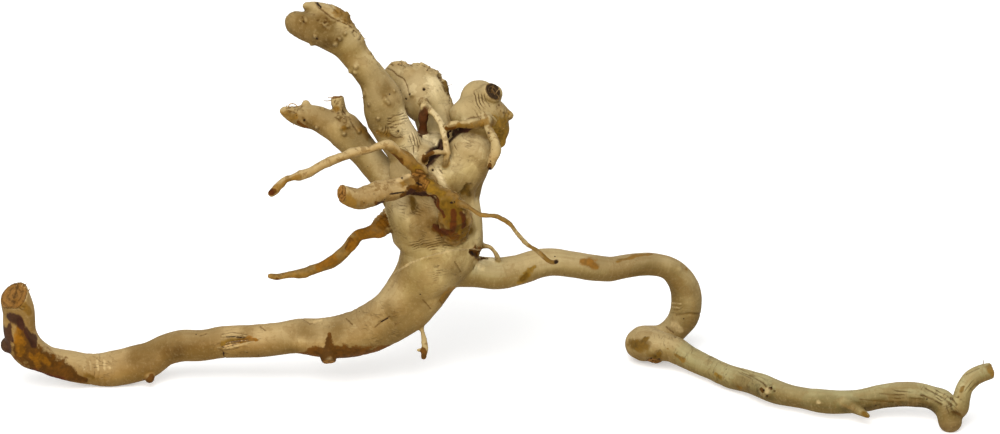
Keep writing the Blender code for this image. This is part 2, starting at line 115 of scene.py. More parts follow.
# %% Roots
# The look of a cut end is the way that it faces, as shares to the right, upward and toward the viewer.
CUT_LEFT = (-0.40, 0.42, 0.81)
CUT_RIGHT = (0.92, 0.25, -0.30)
CUT_THICK = (-0.80, 0.10, 0.60)
CUT_FRONT = (0.55, 0.42, 0.72)
CUT_SIDE = (-0.15, 0.97, 0.20)
CUT_KNOT = (-0.15, 0.05, 0.98)
CUT_HAIRPIN = (0.15, -0.70, 0.68)
CUT_KNOB = (0.05, -0.95, 0.30)
ROUND = None


def limb(stations, first_end=ROUND, last_end=ROUND, depth=1.0):
    """A limb's stations, the look of each end, and its depth toward the viewer as a share of its width."""
    return stations, first_end, last_end, depth


ROOTS = {
    "trunk": limb([
        (14.5, 295, 14, 14.2), (17, 304, 10.5, 15.2), (19, 312, 8, 15.6), (19.5, 321, 6, 15.8),
        (20.5, 333, 4, 16), (27, 347.5, 2, 17), (45, 359, -2, 15), (70, 366, -7, 15.8),
        (90, 369, -11, 14.8), (110, 369, -12.5, 17), (130, 365.5, -12, 17.5), (149, 360, -11, 17),
        (165, 350.5, -10, 15.5), (180, 346, -9, 16), (200, 345, -9, 15), (220, 342, -8, 15.7),
        (240, 341, -7, 16.3), (260, 340.5, -6, 17), (280, 338.5, -5, 17), (300, 336.5, -4, 17.5),
        (320, 338, -3, 19), (340, 337, -2, 21.5), (360, 332.5, -1, 23), (380, 323, 0, 25),
        (400, 309, 2, 26.5), (416, 291, 4, 28), (426, 275, 5.5, 30.5), (436, 256, 8, 38.5),
        (438.5, 243, 10.5, 44), (437, 230, 12, 46.5), (434, 215, 15, 47), (431, 200, 18, 45),
        (431, 187, 20, 39), (432, 170, 20, 32), (434, 157, 18, 23)], first_end=CUT_LEFT, depth=0.92),
    "left corner": limb([(22, 345, 1, 13), (8.5, 345, 1, 8)]),
    "left spur": limb([(149, 370, -9, 7), (149.5, 378.5, -8, 4.6)]),
    "left knob": limb([(327, 348, 1, 10), (329, 362.5, 3, 6.5)], last_end=CUT_KNOB),
    "right root": limb([
        (440, 262, 6, 26), (457, 269, 5, 18.5), (475, 271, 3, 15.8), (500, 273, 1, 15),
        (520, 269.5, -1, 14.5), (540, 263.5, -3, 14), (555, 262.5, -5, 13.5), (570, 264.5, -7, 13),
        (590, 267.5, -10, 12.5), (610, 269, -14, 12), (630, 265.5, -18, 11.5), (650, 264, -23, 11.5),
        (667, 267.5, -28, 12.3), (677.5, 276, -33, 13.3), (684.5, 288, -37, 14.5), (686.5, 302, -40, 15.5),
        (684.5, 315, -42, 15), (677, 327, -44, 13.5), (664, 337.5, -45.5, 14), (647, 342, -44, 17.8),
        (643.5, 343.2, -37, 18), (656, 345, -31, 15), (672, 348.5, -28, 13.2), (690, 358, -24, 11.2),
        (710, 367.6, -16, 11), (730, 376.7, -7, 11), (750, 382.3, 1, 11), (765, 387.5, 9, 12),
        (780, 393, 15, 11.5), (800, 397.2, 21, 11), (820, 400.5, 25, 12), (840, 401.9, 27, 11.7),
        (860, 401, 28, 11.5), (880, 397, 28, 11.5), (900, 394.5, 28.5, 12.3), (915, 394.6, 30, 12.8),
        (930, 397.3, 31.5, 11.7), (942, 402.5, 34.5, 12.5), (948, 411, 37.2, 12), (950, 421, 38.8, 11.5)]),
    "hairpin stub": limb([(652, 348, -37, 11), (657, 358.5, -33.5, 8)], last_end=CUT_HAIRPIN),
    "right end": limb([
        (944, 408, 36, 10), (957.5, 409, 39, 10), (961, 399, 41, 8.8), (964.5, 388, 41.5, 8.3),
        (970.5, 379.5, 41, 8.6), (980, 374, 39, 8.4), (991.5, 370.5, 37, 8)], last_end=CUT_RIGHT),
    "right thorn": limb([(845, 402, 30, 9), (857, 409, 33, 5.5), (868, 416, 36, 2.2)]),
    "right knot": limb([(765, 387, 12, 8), (767, 391, 15, 7.5)]),
}
print(len(ROOTS), "limbs in the roots")

# %% [markdown]
# ## The crown
# Above the trunk the root divides into four lobes with blunt, knobbly heads, like a hand. Each lobe is a
# thick limb of its own, and the bulges of a head are short fat limbs that melt into it. The gaps between
# the lobes are part of the look, so the stations keep them open.

# %% Crown
CROWN = {
    "tall lobe": limb([
        (427, 195, 20, 24), (417, 170, 24, 22), (406.5, 150, 27, 19.3), (394.5, 131, 29, 19),
        (386, 115, 30, 20.3), (382, 99, 31, 19.5), (374, 81, 32, 15.5), (363, 66, 33, 14.8),
        (355.5, 56, 33, 15), (346, 43, 34, 17), (335, 35, 35, 18), (322, 30, 35, 16.5),
        (307, 26.5, 34, 14.3), (297, 23, 33, 12.3)], depth=0.85),
    "tall prong": limb([
        (341, 34, 34, 17.5), (331.5, 22, 34, 17.3), (320, 13.5, 34, 12), (311.5, 8, 34, 7.2),
        (306.5, 6, 34, 4)], depth=0.9),
    "side lobe": limb([
        (411, 204, 13, 26), (394, 186, 13, 19), (376, 166.5, 13, 14.8), (365, 153, 14, 14.3),
        (354, 141, 15, 16.8), (343, 129.5, 16, 18.3), (328, 123, 16, 14), (315, 117.5, 16, 12),
        (302, 116, 16, 10.8), (292, 114, 16, 8), (284.5, 111, 16, 4.8)], depth=0.85),
    "side stub": limb([
        (344, 124, 16, 9), (339.5, 110, 17, 7), (337, 96.5, 18, 6.5)], last_end=CUT_SIDE, depth=0.9),
    "side bump": limb([(307, 112, 16, 8), (306, 104, 16, 4)]),
    "back lobe": limb([
        (440, 194, 9, 32), (441, 164, 8.5, 24), (441, 138, 10, 19.5), (435, 115, 11, 21),
        (424, 98, 10.5, 25), (417, 84, 8, 21)], depth=0.75),
    "front lobe": limb([
        (450, 208, 14, 27), (458, 181, 17, 24), (470, 153, 22, 23), (478, 128, 27, 24.5),
        (479.5, 110, 30, 28.3), (479.5, 99, 29, 19)], depth=0.85),
    "front stub": limb([
        (483, 101, 32, 15), (489, 95, 35.5, 12.5), (493.5, 91, 38.5, 9)], last_end=CUT_FRONT),
    "front lip": limb([(488, 104, 26, 14), (494.5, 94, 26, 8.5)]),
    "front nub": limb([(498, 113, 30, 12.5), (508.5, 115.5, 31, 5)]),
    "front cheek": limb([(489, 121, 28, 18), (497, 132, 28, 13.5), (499, 141, 28, 7)]),
}
print(len(CROWN), "limbs in the crown")

# %% [markdown]
# ## The twigs
# Fine side roots come out of a knot at the front of the trunk and wander off. They are only 2 to 9 mm
# thick, so they need their stations close together: every small turn shows against the background.

# %% Twigs
TWIGS = {
    "knot": limb([(424, 184, 34, 12), (420.5, 181, 45, 8.5)], last_end=CUT_KNOT),
    "long twig": limb([
        (423, 176, 40, 6.5), (421, 171, 44, 6.2), (412, 164, 47, 6.5), (403, 156, 50, 6), (394, 149, 52, 5),
        (388, 145, 54, 4.8), (380, 146, 55, 4), (370, 149.5, 56, 3.6), (360, 151.5, 57, 4),
        (350, 154, 58, 4.5), (340, 157.5, 59, 4), (330, 161.5, 59, 4), (320, 166.5, 60, 4),
        (310, 172, 60, 4.5), (300, 175.5, 60, 4.5), (292, 177.5, 60, 3.2), (285, 180, 61, 3.5),
        (280, 185, 61, 4), (275, 190, 61, 4), (271.5, 193.5, 61, 3.3)]),
    "thick twig": limb([
        (428, 182, 36, 9), (415, 182, 43, 9.5), (405, 186, 47, 10), (392, 190, 50, 10.5),
        (380, 192, 53, 10.5), (370, 196, 55, 11), (356, 198.5, 57, 9.5), (341, 193, 61, 8.4)
    ], last_end=CUT_THICK),
    "arch twig": limb([
        (424, 183, 44, 7), (431, 187, 47, 7), (440, 192, 48, 8), (449, 202, 46, 12), (454, 215, 41, 14.5),
        (454, 228, 31, 14.5), (452, 237, 17, 11)]),
    "trailing twig": limb([
        (456, 203, 48, 5), (466, 206, 52, 3), (473, 210, 54, 2.3), (480, 214.5, 55, 2.1),
        (487, 215.5, 55, 2.1), (495, 216, 54, 2.1), (502, 219, 52, 2.2), (510, 224, 50, 2.1),
        (516, 232, 47, 2.1), (522, 239, 44, 2.1), (528, 245, 41, 2.1), (536, 250, 38, 2.1),
        (543, 256, 35, 2.1), (549, 261, 32, 2.1), (553, 262.5, 30, 2.1), (557, 261, 28, 2)]),
    "hanging twig": limb([
        (482, 118, 37, 7), (487, 121, 42, 5.5), (488, 128, 46, 4), (491, 134, 48, 4), (495, 141, 49, 4.4),
        (496, 150, 49, 4.6), (493, 158, 48, 4.2), (490, 167, 46, 3.2)]),
    "lying twig": limb([
        (446, 128, 36, 4), (455, 124.5, 40, 4), (465, 124, 42, 4.5), (476, 123.5, 42, 4.8),
        (487, 122, 40, 5)]),
    "lower twig": limb([
        (402, 212, 13, 12), (390, 219, 16, 10.5), (378, 229, 19, 9), (367, 233, 20, 5.6),
        (357, 236, 21, 5.4), (352, 243, 21, 6), (345, 251, 22, 6), (338, 257, 22, 6), (330, 263, 22, 5.5),
        (322, 266.5, 22, 5), (312, 270, 22, 4.5), (302, 273.5, 22, 4.5), (292, 274.5, 22, 3.5),
        (285, 275.5, 22, 3.1), (277, 277, 22, 3.1), (270, 276, 22, 2.7)]),
    "twig below": limb([
        (419, 312, 3, 6), (421, 326, 4, 3), (424, 340, 5, 2.6), (425, 350, 6, 3.1), (423.5, 357, 6, 2.6)]),
    "thorn below": limb([(424, 350, 6, 2.4), (418.5, 350, 7, 2)]),
    "pale twig": limb([
        (421, 99, 15, 5), (427, 106, 23, 3.6), (432, 112, 28, 3.2), (438, 119, 32, 3.1),
        (442, 126, 35, 3.1), (444, 135, 38, 3.1), (446, 145, 40, 3.2), (447, 153, 40, 3.4),
        (446, 160, 38, 3.2), (446, 167, 33, 3.4)]),
    "hook twig": limb([
        (447, 154, 40, 2.6), (440, 152, 42, 2.2), (432, 153, 42, 2.2), (427, 156, 40, 2.4),
        (424, 161, 34, 2.6)]),
    "red stub": limb([
        (422, 142, 18, 6), (423, 128, 23, 4.6), (423.5, 116, 26, 4.4), (424, 107, 28, 4)], depth=0.8),
    "crotch twig": limb([
        (476, 247, 5, 3), (485, 246, 8, 2.1), (489, 246.5, 9, 2.1), (493, 250, 9, 2.1), (497, 256, 8, 2.1),
        (499, 264, 4, 2.6)]),
}
print(len(TWIGS), "limbs in the twigs")

# %% [markdown]
# ## Fillings and the table of limbs
# Where lobes meet, the real wood has webs and heels that no limb runs along. Short fat limbs fill those
# places, and five more make the broken head of the lobe behind. Then all limbs go into one table. Their
# names are used again later, to say which limb carries a wrinkle or a stain.

# %% Fillings and the table of limbs
FILLINGS = {
    "trunk heel": limb([
        (400, 307, 4.5, 21), (417, 284, 8, 24.5), (430, 263, 11.5, 31), (436, 246, 12.3, 38),
        (436, 228, 11, 42)]),
    "lobe web": limb([
        (424, 192, 22, 32), (418, 172, 25, 29), (418, 156, 25, 24), (421, 146, 22, 15)], depth=0.85),
    "front plate": limb([
        (452, 224, 18, 25), (453, 205, 21, 24), (453.5, 188, 24, 22.5), (459, 170, 28, 24),
        (469, 154, 31, 24)], depth=0.8),
    "front lobe back": limb([
        (474, 146, 19, 20), (478, 126, 21, 23), (479.5, 110, 23, 24), (480, 99, 24, 17.5)]),
    "back lobe root": limb([
        (440, 246, 15, 18), (440, 231, 9.5, 22), (440, 215, 4.5, 24), (441, 190, 2, 24),
        (440, 165, 1.5, 20.5), (438, 140, 1, 18), (433, 120, 1.5, 17.5), (427, 103, 3, 18)]),
    "finger 0": limb([(415, 90, 6, 18), (399, 76, 5, 15.5)], depth=0.9),
    "finger 1": limb([(420, 92, 8, 18), (412, 79, 9, 14)], depth=0.9),
    "finger 2": limb([(424, 92, 6, 18), (429, 82, 6, 14)], depth=0.9),
    "finger 3": limb([(428, 98, 8, 18), (435, 91, 8.5, 14)], depth=0.9),
    "finger 4": limb([(432, 104, 6, 18), (440, 104, 7, 12)], depth=0.9),
}
LIMBS = {**ROOTS, **CROWN, **TWIGS, **FILLINGS}
LIMB_NAMES = list(LIMBS)
print(len(LIMBS), "limbs and", sum(len(limb[0]) for limb in LIMBS.values()), "stations")

# %% [markdown]
# ## A profile carried along a path
# A limb's skin is a function of two parameters: how far along the middle line, and at what angle round
# it. The middle line is a chain of cubic curves with matching slopes. A pair of directions across the
# line is carried from ring to ring without twisting. The radius swells in slow waves along the limb and
# in shallow flutes that wind round it, because a perfectly round tube looks like plastic.

# %% Routes and frames
RING_SPACING = 0.0008
SIDES = 36


def unit(vectors):
    """Vectors scaled to length one."""
    return vectors / np.linalg.norm(vectors, axis=-1, keepdims=True)


def smooth_route(stations, spacing):
    """Evenly spaced centres and half-widths on a smooth curve through the stations.

    Between two stations the value is (2t^3 - 3t^2 + 1) a + (t^3 - 2t^2 + t) slope_a + (3t^2 - 2t^3) b
    + (t^3 - t^2) slope_b, where each slope is that between the station's neighbours.
    """
    centres, widths = place(stations)
    values = np.column_stack((centres, widths))
    steps = np.linalg.norm(np.diff(centres, axis=0), axis=1)
    knots = np.concatenate(([0.0], np.cumsum(steps)))
    slopes = np.gradient(values, knots, axis=0)
    along = np.linspace(0.0, knots[-1], max(3, math.ceil(knots[-1] / spacing) + 1))
    stretch = np.clip(np.searchsorted(knots, along, side="right") - 1, 0, len(steps) - 1)
    step = steps[stretch][:, None]
    t = (along - knots[stretch])[:, None] / step
    start = (2 * t**3 - 3 * t**2 + 1) * values[stretch] + (t**3 - 2 * t**2 + t) * step * slopes[stretch]
    end = (3 * t**2 - 2 * t**3) * values[stretch + 1] + (t**3 - t**2) * step * slopes[stretch + 1]
    route = start + end
    return route[:, :3], route[:, 3], along


def ring_frames(centres):
    """The tangent at each centre and two directions across it, each turned from the one before as little
    as it can be."""
    tangents = unit(np.gradient(centres, axis=0))
    side = np.cross(tangents[0], TOWARD if abs(tangents[0] @ TOWARD) < 0.8 else UPWARD)
    sides = []
    for tangent in tangents:
        side = unit(side - (side @ tangent) * tangent)
        sides.append(side)
    sides = np.array(sides)
    return tangents, sides, np.cross(tangents, sides)


def swelling(along, around, phase):
    """The share by which a radius grows: two sine waves along the limb, and two that wind round it."""
    waves = np.sin(along / 0.0083 + phase) + 0.7 * np.sin(along / 0.0041 + 2.3 * phase)
    flutes = np.sin(3 * around + along / 0.013 + 1.7 * phase) + np.sin(2 * around - along / 0.021 + phase)
    return 0.022 * waves + 0.024 * flutes


# %% [markdown]
# ## Domes, cuts and tubes
# A limb that ends by itself gets half a ball on its end; where it was sawn, the last ring slides along
# the limb onto a slanting plane. Each ring is a circle of spokes round the middle line, a little flatter
# toward the viewer where the lobes and the trunk are.

# %% Tubes
DOME_RISES = np.radians((20.0, 38.0, 54.0, 68.0, 80.0))


def angles_round(sides):
    """Evenly spaced angles round a circle, one for each side."""
    return np.linspace(0.0, 2 * math.pi, sides, endpoint=False)


def faced(look):
    """The direction of a look, whose shares go to the right, upward and toward the viewer."""
    return unit(look[0] * ACROSS + look[1] * UPWARD + look[2] * TOWARD)


def add_dome(rows, at_start):
    """Rings beyond an end: the centres rise by radius x sin(rise), and the radii are radius x cos(rise)."""
    centres, radii, along, tangents, sides, ups = rows
    end = 0 if at_start else -1
    sign = -1.0 if at_start else 1.0
    more = [centres[end] + sign * radii[end] * np.sin(DOME_RISES)[:, None] * tangents[end],
            radii[end] * np.cos(DOME_RISES), np.full(len(DOME_RISES), along[end])]
    more += [np.repeat(vectors[end][None, :], len(DOME_RISES), axis=0) for vectors in (tangents, sides, ups)]
    if at_start:
        return [np.concatenate((extra[::-1], row)) for extra, row in zip(more, rows)]
    return [np.concatenate((row, extra)) for extra, row in zip(more, rows)]


def slide_to_plane(ring, centre, tangent, look):
    """A ring's points moved along the limb until they lie in the plane through its centre with that look."""
    normal = faced(look)
    return ring + ((centre - ring) @ normal / (tangent @ normal))[:, None] * tangent


def tube(stations, first_end, last_end, depth, phase):
    """Rings of points: centre + radius x (1 + swelling) x (cos(angle) side + sin(angle) up), with the part
    of each spoke that points toward the viewer scaled by the depth."""
    centres, radii, along = smooth_route(stations, RING_SPACING)
    rows = [centres, radii, along, *ring_frames(centres)]
    if first_end is ROUND:
        rows = add_dome(rows, True)
    if last_end is ROUND:
        rows = add_dome(rows, False)
    centres, radii, along, tangents, sides, ups = rows
    angles = angles_round(SIDES)
    spokes = (np.cos(angles)[None, :, None] * sides[:, None, :]
              + np.sin(angles)[None, :, None] * ups[:, None, :])
    toward = TOWARD - (tangents @ TOWARD)[:, None] * tangents
    spokes += (depth - 1.0) * (spokes @ TOWARD)[:, :, None] * toward[:, None, :]
    growth = 1.0 + swelling(along[:, None], angles[None, :], phase)
    rings = centres[:, None, :] + spokes * (radii[:, None] * growth)[:, :, None]
    if first_end is not ROUND:
        rings[0] = slide_to_plane(rings[0], centres[0], tangents[0], first_end)
    if last_end is not ROUND:
        rings[-1] = slide_to_plane(rings[-1], centres[-1], tangents[-1], last_end)
    return rings


limb_rings = [tube(*limb, float(number)) for number, limb in enumerate(LIMBS.values())]
print("the longest limb has", max(len(rings) for rings in limb_rings), "rings")

# %% [markdown]
# ## From rings to a mesh
# The rings become one grid of four-sided faces, closed with a fan of triangles at each end. All corners
# are written as whole arrays of numbers, which is far quicker than adding faces one at a time. The nubs
# and the fibres further on are made of rings too, so they go through the same functions.

# %% From rings to a mesh
NO_TRIANGLES = np.zeros((0, 3), int)


def closed_grid(rings, first_number=0):
    """Points and faces of a closed tube: quads between neighbouring rings, and a fan from the middle of each
    end ring."""
    count, sides, _ = rings.shape
    points = np.concatenate((rings.reshape(-1, 3), [rings[0].mean(axis=0), rings[-1].mean(axis=0)]))
    here = np.arange(sides)
    beside = np.roll(here, -1)
    row = (np.arange(count - 1) * sides)[:, None]
    quads = np.stack((row + here, row + beside, row + sides + beside, row + sides + here), axis=-1)
    first = np.stack((np.full(sides, count * sides), beside, here), axis=-1)
    last = (count - 1) * sides
    final = np.stack((np.full(sides, count * sides + 1), last + here, last + beside), axis=-1)
    triangles = np.concatenate((first, final))
    return points, quads.reshape(-1, 4) + first_number, triangles + first_number


def join(grids):
    """One list of points, one of quads and one of triangles out of several closed grids."""
    points, quads, triangles = [], [], []
    total = 0
    for rings in grids:
        own_points, own_quads, own_triangles = closed_grid(rings, total)
        points.append(own_points)
        quads.append(own_quads)
        triangles.append(own_triangles)
        total += len(own_points)
    return np.concatenate(points), np.concatenate(quads), np.concatenate(triangles)


def mesh_object(name, points, quads, triangles=NO_TRIANGLES):
    """Puts arrays of points and corner numbers into a new mesh object."""
    mesh = bpy.data.meshes.new(name)
    corners = np.concatenate((quads.ravel(), triangles.ravel()))
    starts = np.concatenate((np.arange(len(quads)) * 4, len(quads) * 4 + np.arange(len(triangles)) * 3))
    mesh.vertices.add(len(points))
    mesh.loops.add(len(corners))
    mesh.polygons.add(len(starts))
    mesh.vertices.foreach_set("co", points.astype(np.float32).ravel())
    mesh.loops.foreach_set("vertex_index", corners.astype(np.int32))
    mesh.polygons.foreach_set("loop_start", starts.astype(np.int32))
    mesh.update(calc_edges=True)
    made = bpy.data.objects.new(name, mesh)
    bpy.context.scene.collection.objects.link(made)
    return made


limb_points, limb_quads, limb_triangles = join(limb_rings)
print("the limbs overlap in", len(limb_points), "points")

# %% [markdown]
# ## Nubs
# The lobes are dotted with small blunt nubs where root hairs broke off. The ones that show in front are
# listed one by one; all round the lobes a seeded scatter places the rest, so the same nubs come back on
# every run. Each is a small profile turned round its own axis, with its root sunk into the wood.

# %% Nubs
NUB_HEIGHT = 0.0012
NUB_SINK = 0.0016
NUB_SIDES = 12
NUB_WIDTHS = (2.2, 3.2)
NUB_SEED = 7
BACK_SIDE = -0.15
COARSE_SPACING = 0.0016
# Nubs that show: pixels right and down, millimetres toward the viewer, half-width in pixels.
SEEN_NUBS = [(311, 46, 36, 3.2), (347, 74, 36, 3), (352, 75, 40, 2.6), (361, 95, 36, 3), (373, 50, 36, 3),
    (314, 37, 42, 2.6), (335, 46, 44, 2.6), (340, 39, 44, 2.8), (354, 68, 41, 3), (388, 100, 42, 2.8),
    (366, 105, 38, 2.8), (347, 14, 36, 3.4), (325, 24, 42, 3), (342, 128, 26, 3), (344, 135, 26, 2.8),
    (322, 111, 18, 3), (360, 131, 22, 3), (316, 128, 20, 2.8), (409, 93, 22, 3), (405, 98, 22, 3),
    (392, 62, 8, 3.4), (422, 65, 10, 3.4), (438, 72, 10, 3.4), (448, 88, 12, 3.2), (352, 235, 24, 2.8),
    (424, 88, 14, 3), (386, 97, 42, 2.2), (391, 103, 42, 2.3), (399, 88, 38, 2.2), (362, 93, 36, 2.6),
    (376, 120, 40, 2.2), (338, 115, 24, 2.2), (348, 126, 25, 2.3), (346, 33, 42, 2.4), (303, 21, 40, 2.4)]
# Limbs that carry nubs all round: where the stretch begins and ends, as shares of the length, and how many.
NUB_STRETCHES = {"tall lobe": (0.35, 0.98, 26), "side lobe": (0.40, 0.95, 16), "back lobe": (0.45, 1.0, 20)}
# The nub's outline: shares of its height and of its half-width.
NUB_PROFILE = np.array(((0.0, 1.35), (0.35, 1.15), (0.62, 0.85), (0.82, 0.60), (0.95, 0.36), (1.0, 0.12)))


def nub_places():
    """Points and half-widths of all nubs: the listed ones, then seeded draws round the lobes' far sides."""
    points, widths = place(SEEN_NUBS)
    spots = list(zip(points, widths))
    rng = np.random.default_rng(NUB_SEED)
    for name, (low_share, high_share, count) in NUB_STRETCHES.items():
        centres, radii, _ = smooth_route(LIMBS[name][0], COARSE_SPACING)
        _, sides, ups = ring_frames(centres)
        for _ in range(count):
            at = int(rng.uniform(low_share, high_share) * (len(centres) - 1))
            angle = rng.uniform(0.0, 2 * math.pi)
            out = math.cos(angle) * sides[at] + math.sin(angle) * ups[at]
            width = rng.uniform(*NUB_WIDTHS) * PIXEL
            if out @ TOWARD < BACK_SIDE:
                spots.append((centres[at] + out * radii[at], width))
    return spots


def nub(spot, normal, width):
    """Rings of a nub: its profile turned round the surface's normal, from below the surface to its top."""
    height = NUB_SINK + NUB_HEIGHT
    side = unit(np.cross(normal, UPWARD if abs(normal @ UPWARD) < 0.9 else ACROSS))
    angles = angles_round(NUB_SIDES)
    spokes = np.cos(angles)[:, None] * side + np.sin(angles)[:, None] * np.cross(normal, side)
    rises = (NUB_PROFILE[:, 0] * height - NUB_SINK)[:, None, None] * normal
    return spot + rises + (NUB_PROFILE[:, 1] * width)[:, None, None] * spokes


limb_surface = BVHTree.FromPolygons(limb_points.tolist(), limb_quads.tolist() + limb_triangles.tolist())
nub_tops = []
nub_rings = []
for spot, width in nub_places():
    near, normal, _, _ = limb_surface.find_nearest(Vector(spot))
    # A spot deep in the wood has no skin to stand on, so its nub points inward and doesn't show.
    if normal.dot(near - Vector(spot)) > 0 and (Vector(spot) - near).length > 4 * width:
        normal.negate()
    nub_rings.append(nub(np.array(near), np.array(normal), width))
    nub_tops.append(np.array(near + normal * NUB_HEIGHT))
nub_points, nub_quads, nub_triangles = join(nub_rings)
print(len(nub_rings), "nubs")

# %% [markdown]
# ## One skin
# The overlapping tubes are melted into a single skin with a voxel remesh: it lays a fine lattice over
# them and wraps whatever is inside. Joining them with booleans would leave sharp creases, while wood
# grows round its crotches, so the skin is smoothed a little afterwards. Pockets that the melting leaves
# inside are dropped by keeping only the largest connected body.

# %% One skin
VOXEL = 0.00055
SOFTEN_STEPS = 9
SOFTEN_FACTOR = 0.5


def evaluated_copy(piece):
    """The object's mesh with its modifiers applied."""
    graph = bpy.context.evaluated_depsgraph_get()
    return bpy.data.meshes.new_from_object(piece.evaluated_get(graph))


def positions(mesh):
    """All corner points of a mesh as one array."""
    flat = np.empty(len(mesh.vertices) * 3, np.float32)
    mesh.vertices.foreach_get("co", flat)
    return flat.reshape(-1, 3).astype(float)


def edge_ends(mesh):
    """The two point numbers of every edge."""
    flat = np.empty(len(mesh.edges) * 2, np.int32)
    mesh.edges.foreach_get("vertices", flat)
    return flat.reshape(-1, 2)


def body_numbers(point_count, edges):
    """Gives all points of one connected body the same number: the lowest point number passes from
    neighbour to neighbour until nothing changes."""
    label = np.arange(point_count)
    while True:
        lowest = np.minimum(label[edges[:, 0]], label[edges[:, 1]])
        spread = label.copy()
        np.minimum.at(spread, edges[:, 0], lowest)
        np.minimum.at(spread, edges[:, 1], lowest)
        spread = spread[spread]
        if np.array_equal(spread, label):
            return label
        label = spread


all_points = np.concatenate((limb_points, nub_points))
all_quads = np.concatenate((limb_quads, nub_quads + len(limb_points)))
all_triangles = np.concatenate((limb_triangles, nub_triangles + len(limb_points)))
wood = mesh_object("driftwood_skin", all_points, all_quads, all_triangles)
melt = wood.modifiers.new("melt", "REMESH")
melt.mode = "VOXEL"
melt.voxel_size = VOXEL
soften = wood.modifiers.new("soften", "SMOOTH")
soften.factor = SOFTEN_FACTOR
soften.iterations = SOFTEN_STEPS
skin = evaluated_copy(wood)
wood.modifiers.clear()
wood.data = skin
skin_points = positions(skin)
skin_edges = edge_ends(skin)
bodies = body_numbers(len(skin_points), skin_edges)
body_ids, body_sizes = np.unique(bodies, return_counts=True)
print("the skin has", len(skin_points), "points in", len(body_ids), "bodies; the largest has",
      body_sizes.max())

# %% [markdown]
# ## Standing in the frame
# The skin is moved so that its box lies on the solid's box. Its feet dip a little below the floor there;
# they are cut level later, as the low points of a root that has stood about are worn flat. From here
# on the skin is arrays only: points, four-sided faces, edges and outward directions.

# %% Standing in the frame
largest = bodies == body_ids[body_sizes.argmax()]
skin_low = skin_points[largest].min(axis=0)
skin_high = skin_points[largest].max(axis=0)
shift = np.append((wood_low + wood_high - skin_low - skin_high)[:2] / 2, wood_high[2] - skin_high[2])
quads = np.empty(len(skin.loops), np.int32)
skin.loops.foreach_get("vertex_index", quads)
quads = quads.reshape(-1, 4)
quads = quads[largest[quads[:, 0]]]
new_number = np.cumsum(largest) - 1
quads = new_number[quads]
edges = new_number[skin_edges[largest[skin_edges[:, 0]]]]
points = skin_points[largest]
normals = np.empty(len(skin.vertices) * 3, np.float32)
skin.vertices.foreach_get("normal", normals)
normals = normals.reshape(-1, 3)[largest].astype(float)
POINT_COUNT = len(points)
seen_right, seen_down, seen_toward = seen_at(points)
points = points + shift
print("moved by", np.round(shift * 1000, 2), "mm;", POINT_COUNT, "points and", len(quads), "faces")

# %% [markdown]
# ## Which limb a point lies on
# Wood fibres run along each limb and bend with it, so grain can't be laid over the root in straight
# lines. For every point of the skin the nearest limb is looked up, with the way along that limb and
# the offset across it. These three numbers are the point's place in a root that has been pulled
# straight, and patterns worked out there follow every crook.

# %% Unbent places
FILLERS = {"trunk heel", "lobe web", "front lobe back", "back lobe root", "left corner", "front lip"}
FAR = 0.05
REACH = 0.012
CHUNK = 8000
USUAL_GIRTH = 0.005


def limb_places(where, stations, depth):
    """How far points lie outside one limb, their way along it, their offsets across it, and its radius.

    A point goes to the centre for which distance - radius is smallest. The offset toward the viewer is
    divided by the depth first, which undoes the flattening.
    """
    centres, radii, along = smooth_route(stations, COARSE_SPACING)
    tangents, sides, ups = ring_frames(centres)
    outside = np.full(len(where), FAR)
    unbent = np.zeros((len(where), 3))
    girth = np.zeros(len(where))
    margin = radii.max() + REACH
    low = centres.min(axis=0) - margin
    high = centres.max(axis=0) + margin
    near = np.flatnonzero(np.all((where > low) & (where < high), axis=1))
    for start in range(0, len(near), CHUNK):
        chosen = near[start:start + CHUNK]
        spots = where[chosen]
        gaps = np.sqrt(((spots[:, None, :] - centres[None, :, :]) ** 2).sum(axis=-1)) - radii
        nearest = gaps.argmin(axis=1)
        offset = spots - centres[nearest]
        ahead = (offset * tangents[nearest]).sum(axis=-1)
        offset -= ahead[:, None] * tangents[nearest]
        toward = TOWARD - (tangents[nearest] @ TOWARD)[:, None] * tangents[nearest]
        length = np.maximum(np.linalg.norm(toward, axis=-1), 1e-6)
        toward /= length[:, None]
        stretch = 1.0 / (1.0 + (depth - 1.0) * length**2) - 1.0
        offset += (stretch * (offset * toward).sum(axis=-1))[:, None] * toward
        beyond = np.maximum(np.abs(ahead) - COARSE_SPACING, 0.0)
        outside[chosen] = np.hypot(np.linalg.norm(offset, axis=-1), beyond) - radii[nearest]
        unbent[chosen, 0] = along[nearest] + ahead
        unbent[chosen, 1] = (offset * sides[nearest]).sum(axis=-1)
        unbent[chosen, 2] = (offset * ups[nearest]).sum(axis=-1)
        girth[chosen] = radii[nearest]
    return outside, unbent, girth


best = np.full(POINT_COUNT, FAR)
second = np.full(POINT_COUNT, FAR)
owner = np.zeros(POINT_COUNT, int)
unbent = np.zeros((POINT_COUNT, 3))
girth = np.full(POINT_COUNT, USUAL_GIRTH)
limb_share = np.zeros(POINT_COUNT)
standing = points - shift
for number, (name, (stations, _, _, depth)) in enumerate(LIMBS.items()):
    if name in FILLERS:
        continue
    outside, own_unbent, own_girth = limb_places(standing, stations, depth)
    nearer = outside < best
    second = np.where(nearer, best, np.minimum(second, outside))
    best = np.where(nearer, outside, best)
    owner[nearer] = number
    unbent[nearer] = own_unbent[nearer]
    girth[nearer] = own_girth[nearer]
    limb_share[nearer] = own_unbent[nearer, 0] / own_unbent[:, 0].max()


def limb_mask(*names):
    """Which points lie on the named limbs."""
    return np.isin(owner, [LIMB_NAMES.index(name) for name in names])


on_twig = limb_mask(*TWIGS)
print("points on twigs:", int(on_twig.sum()), "- largest gap to a limb:", round(best.max() * 1000, 2), "mm")

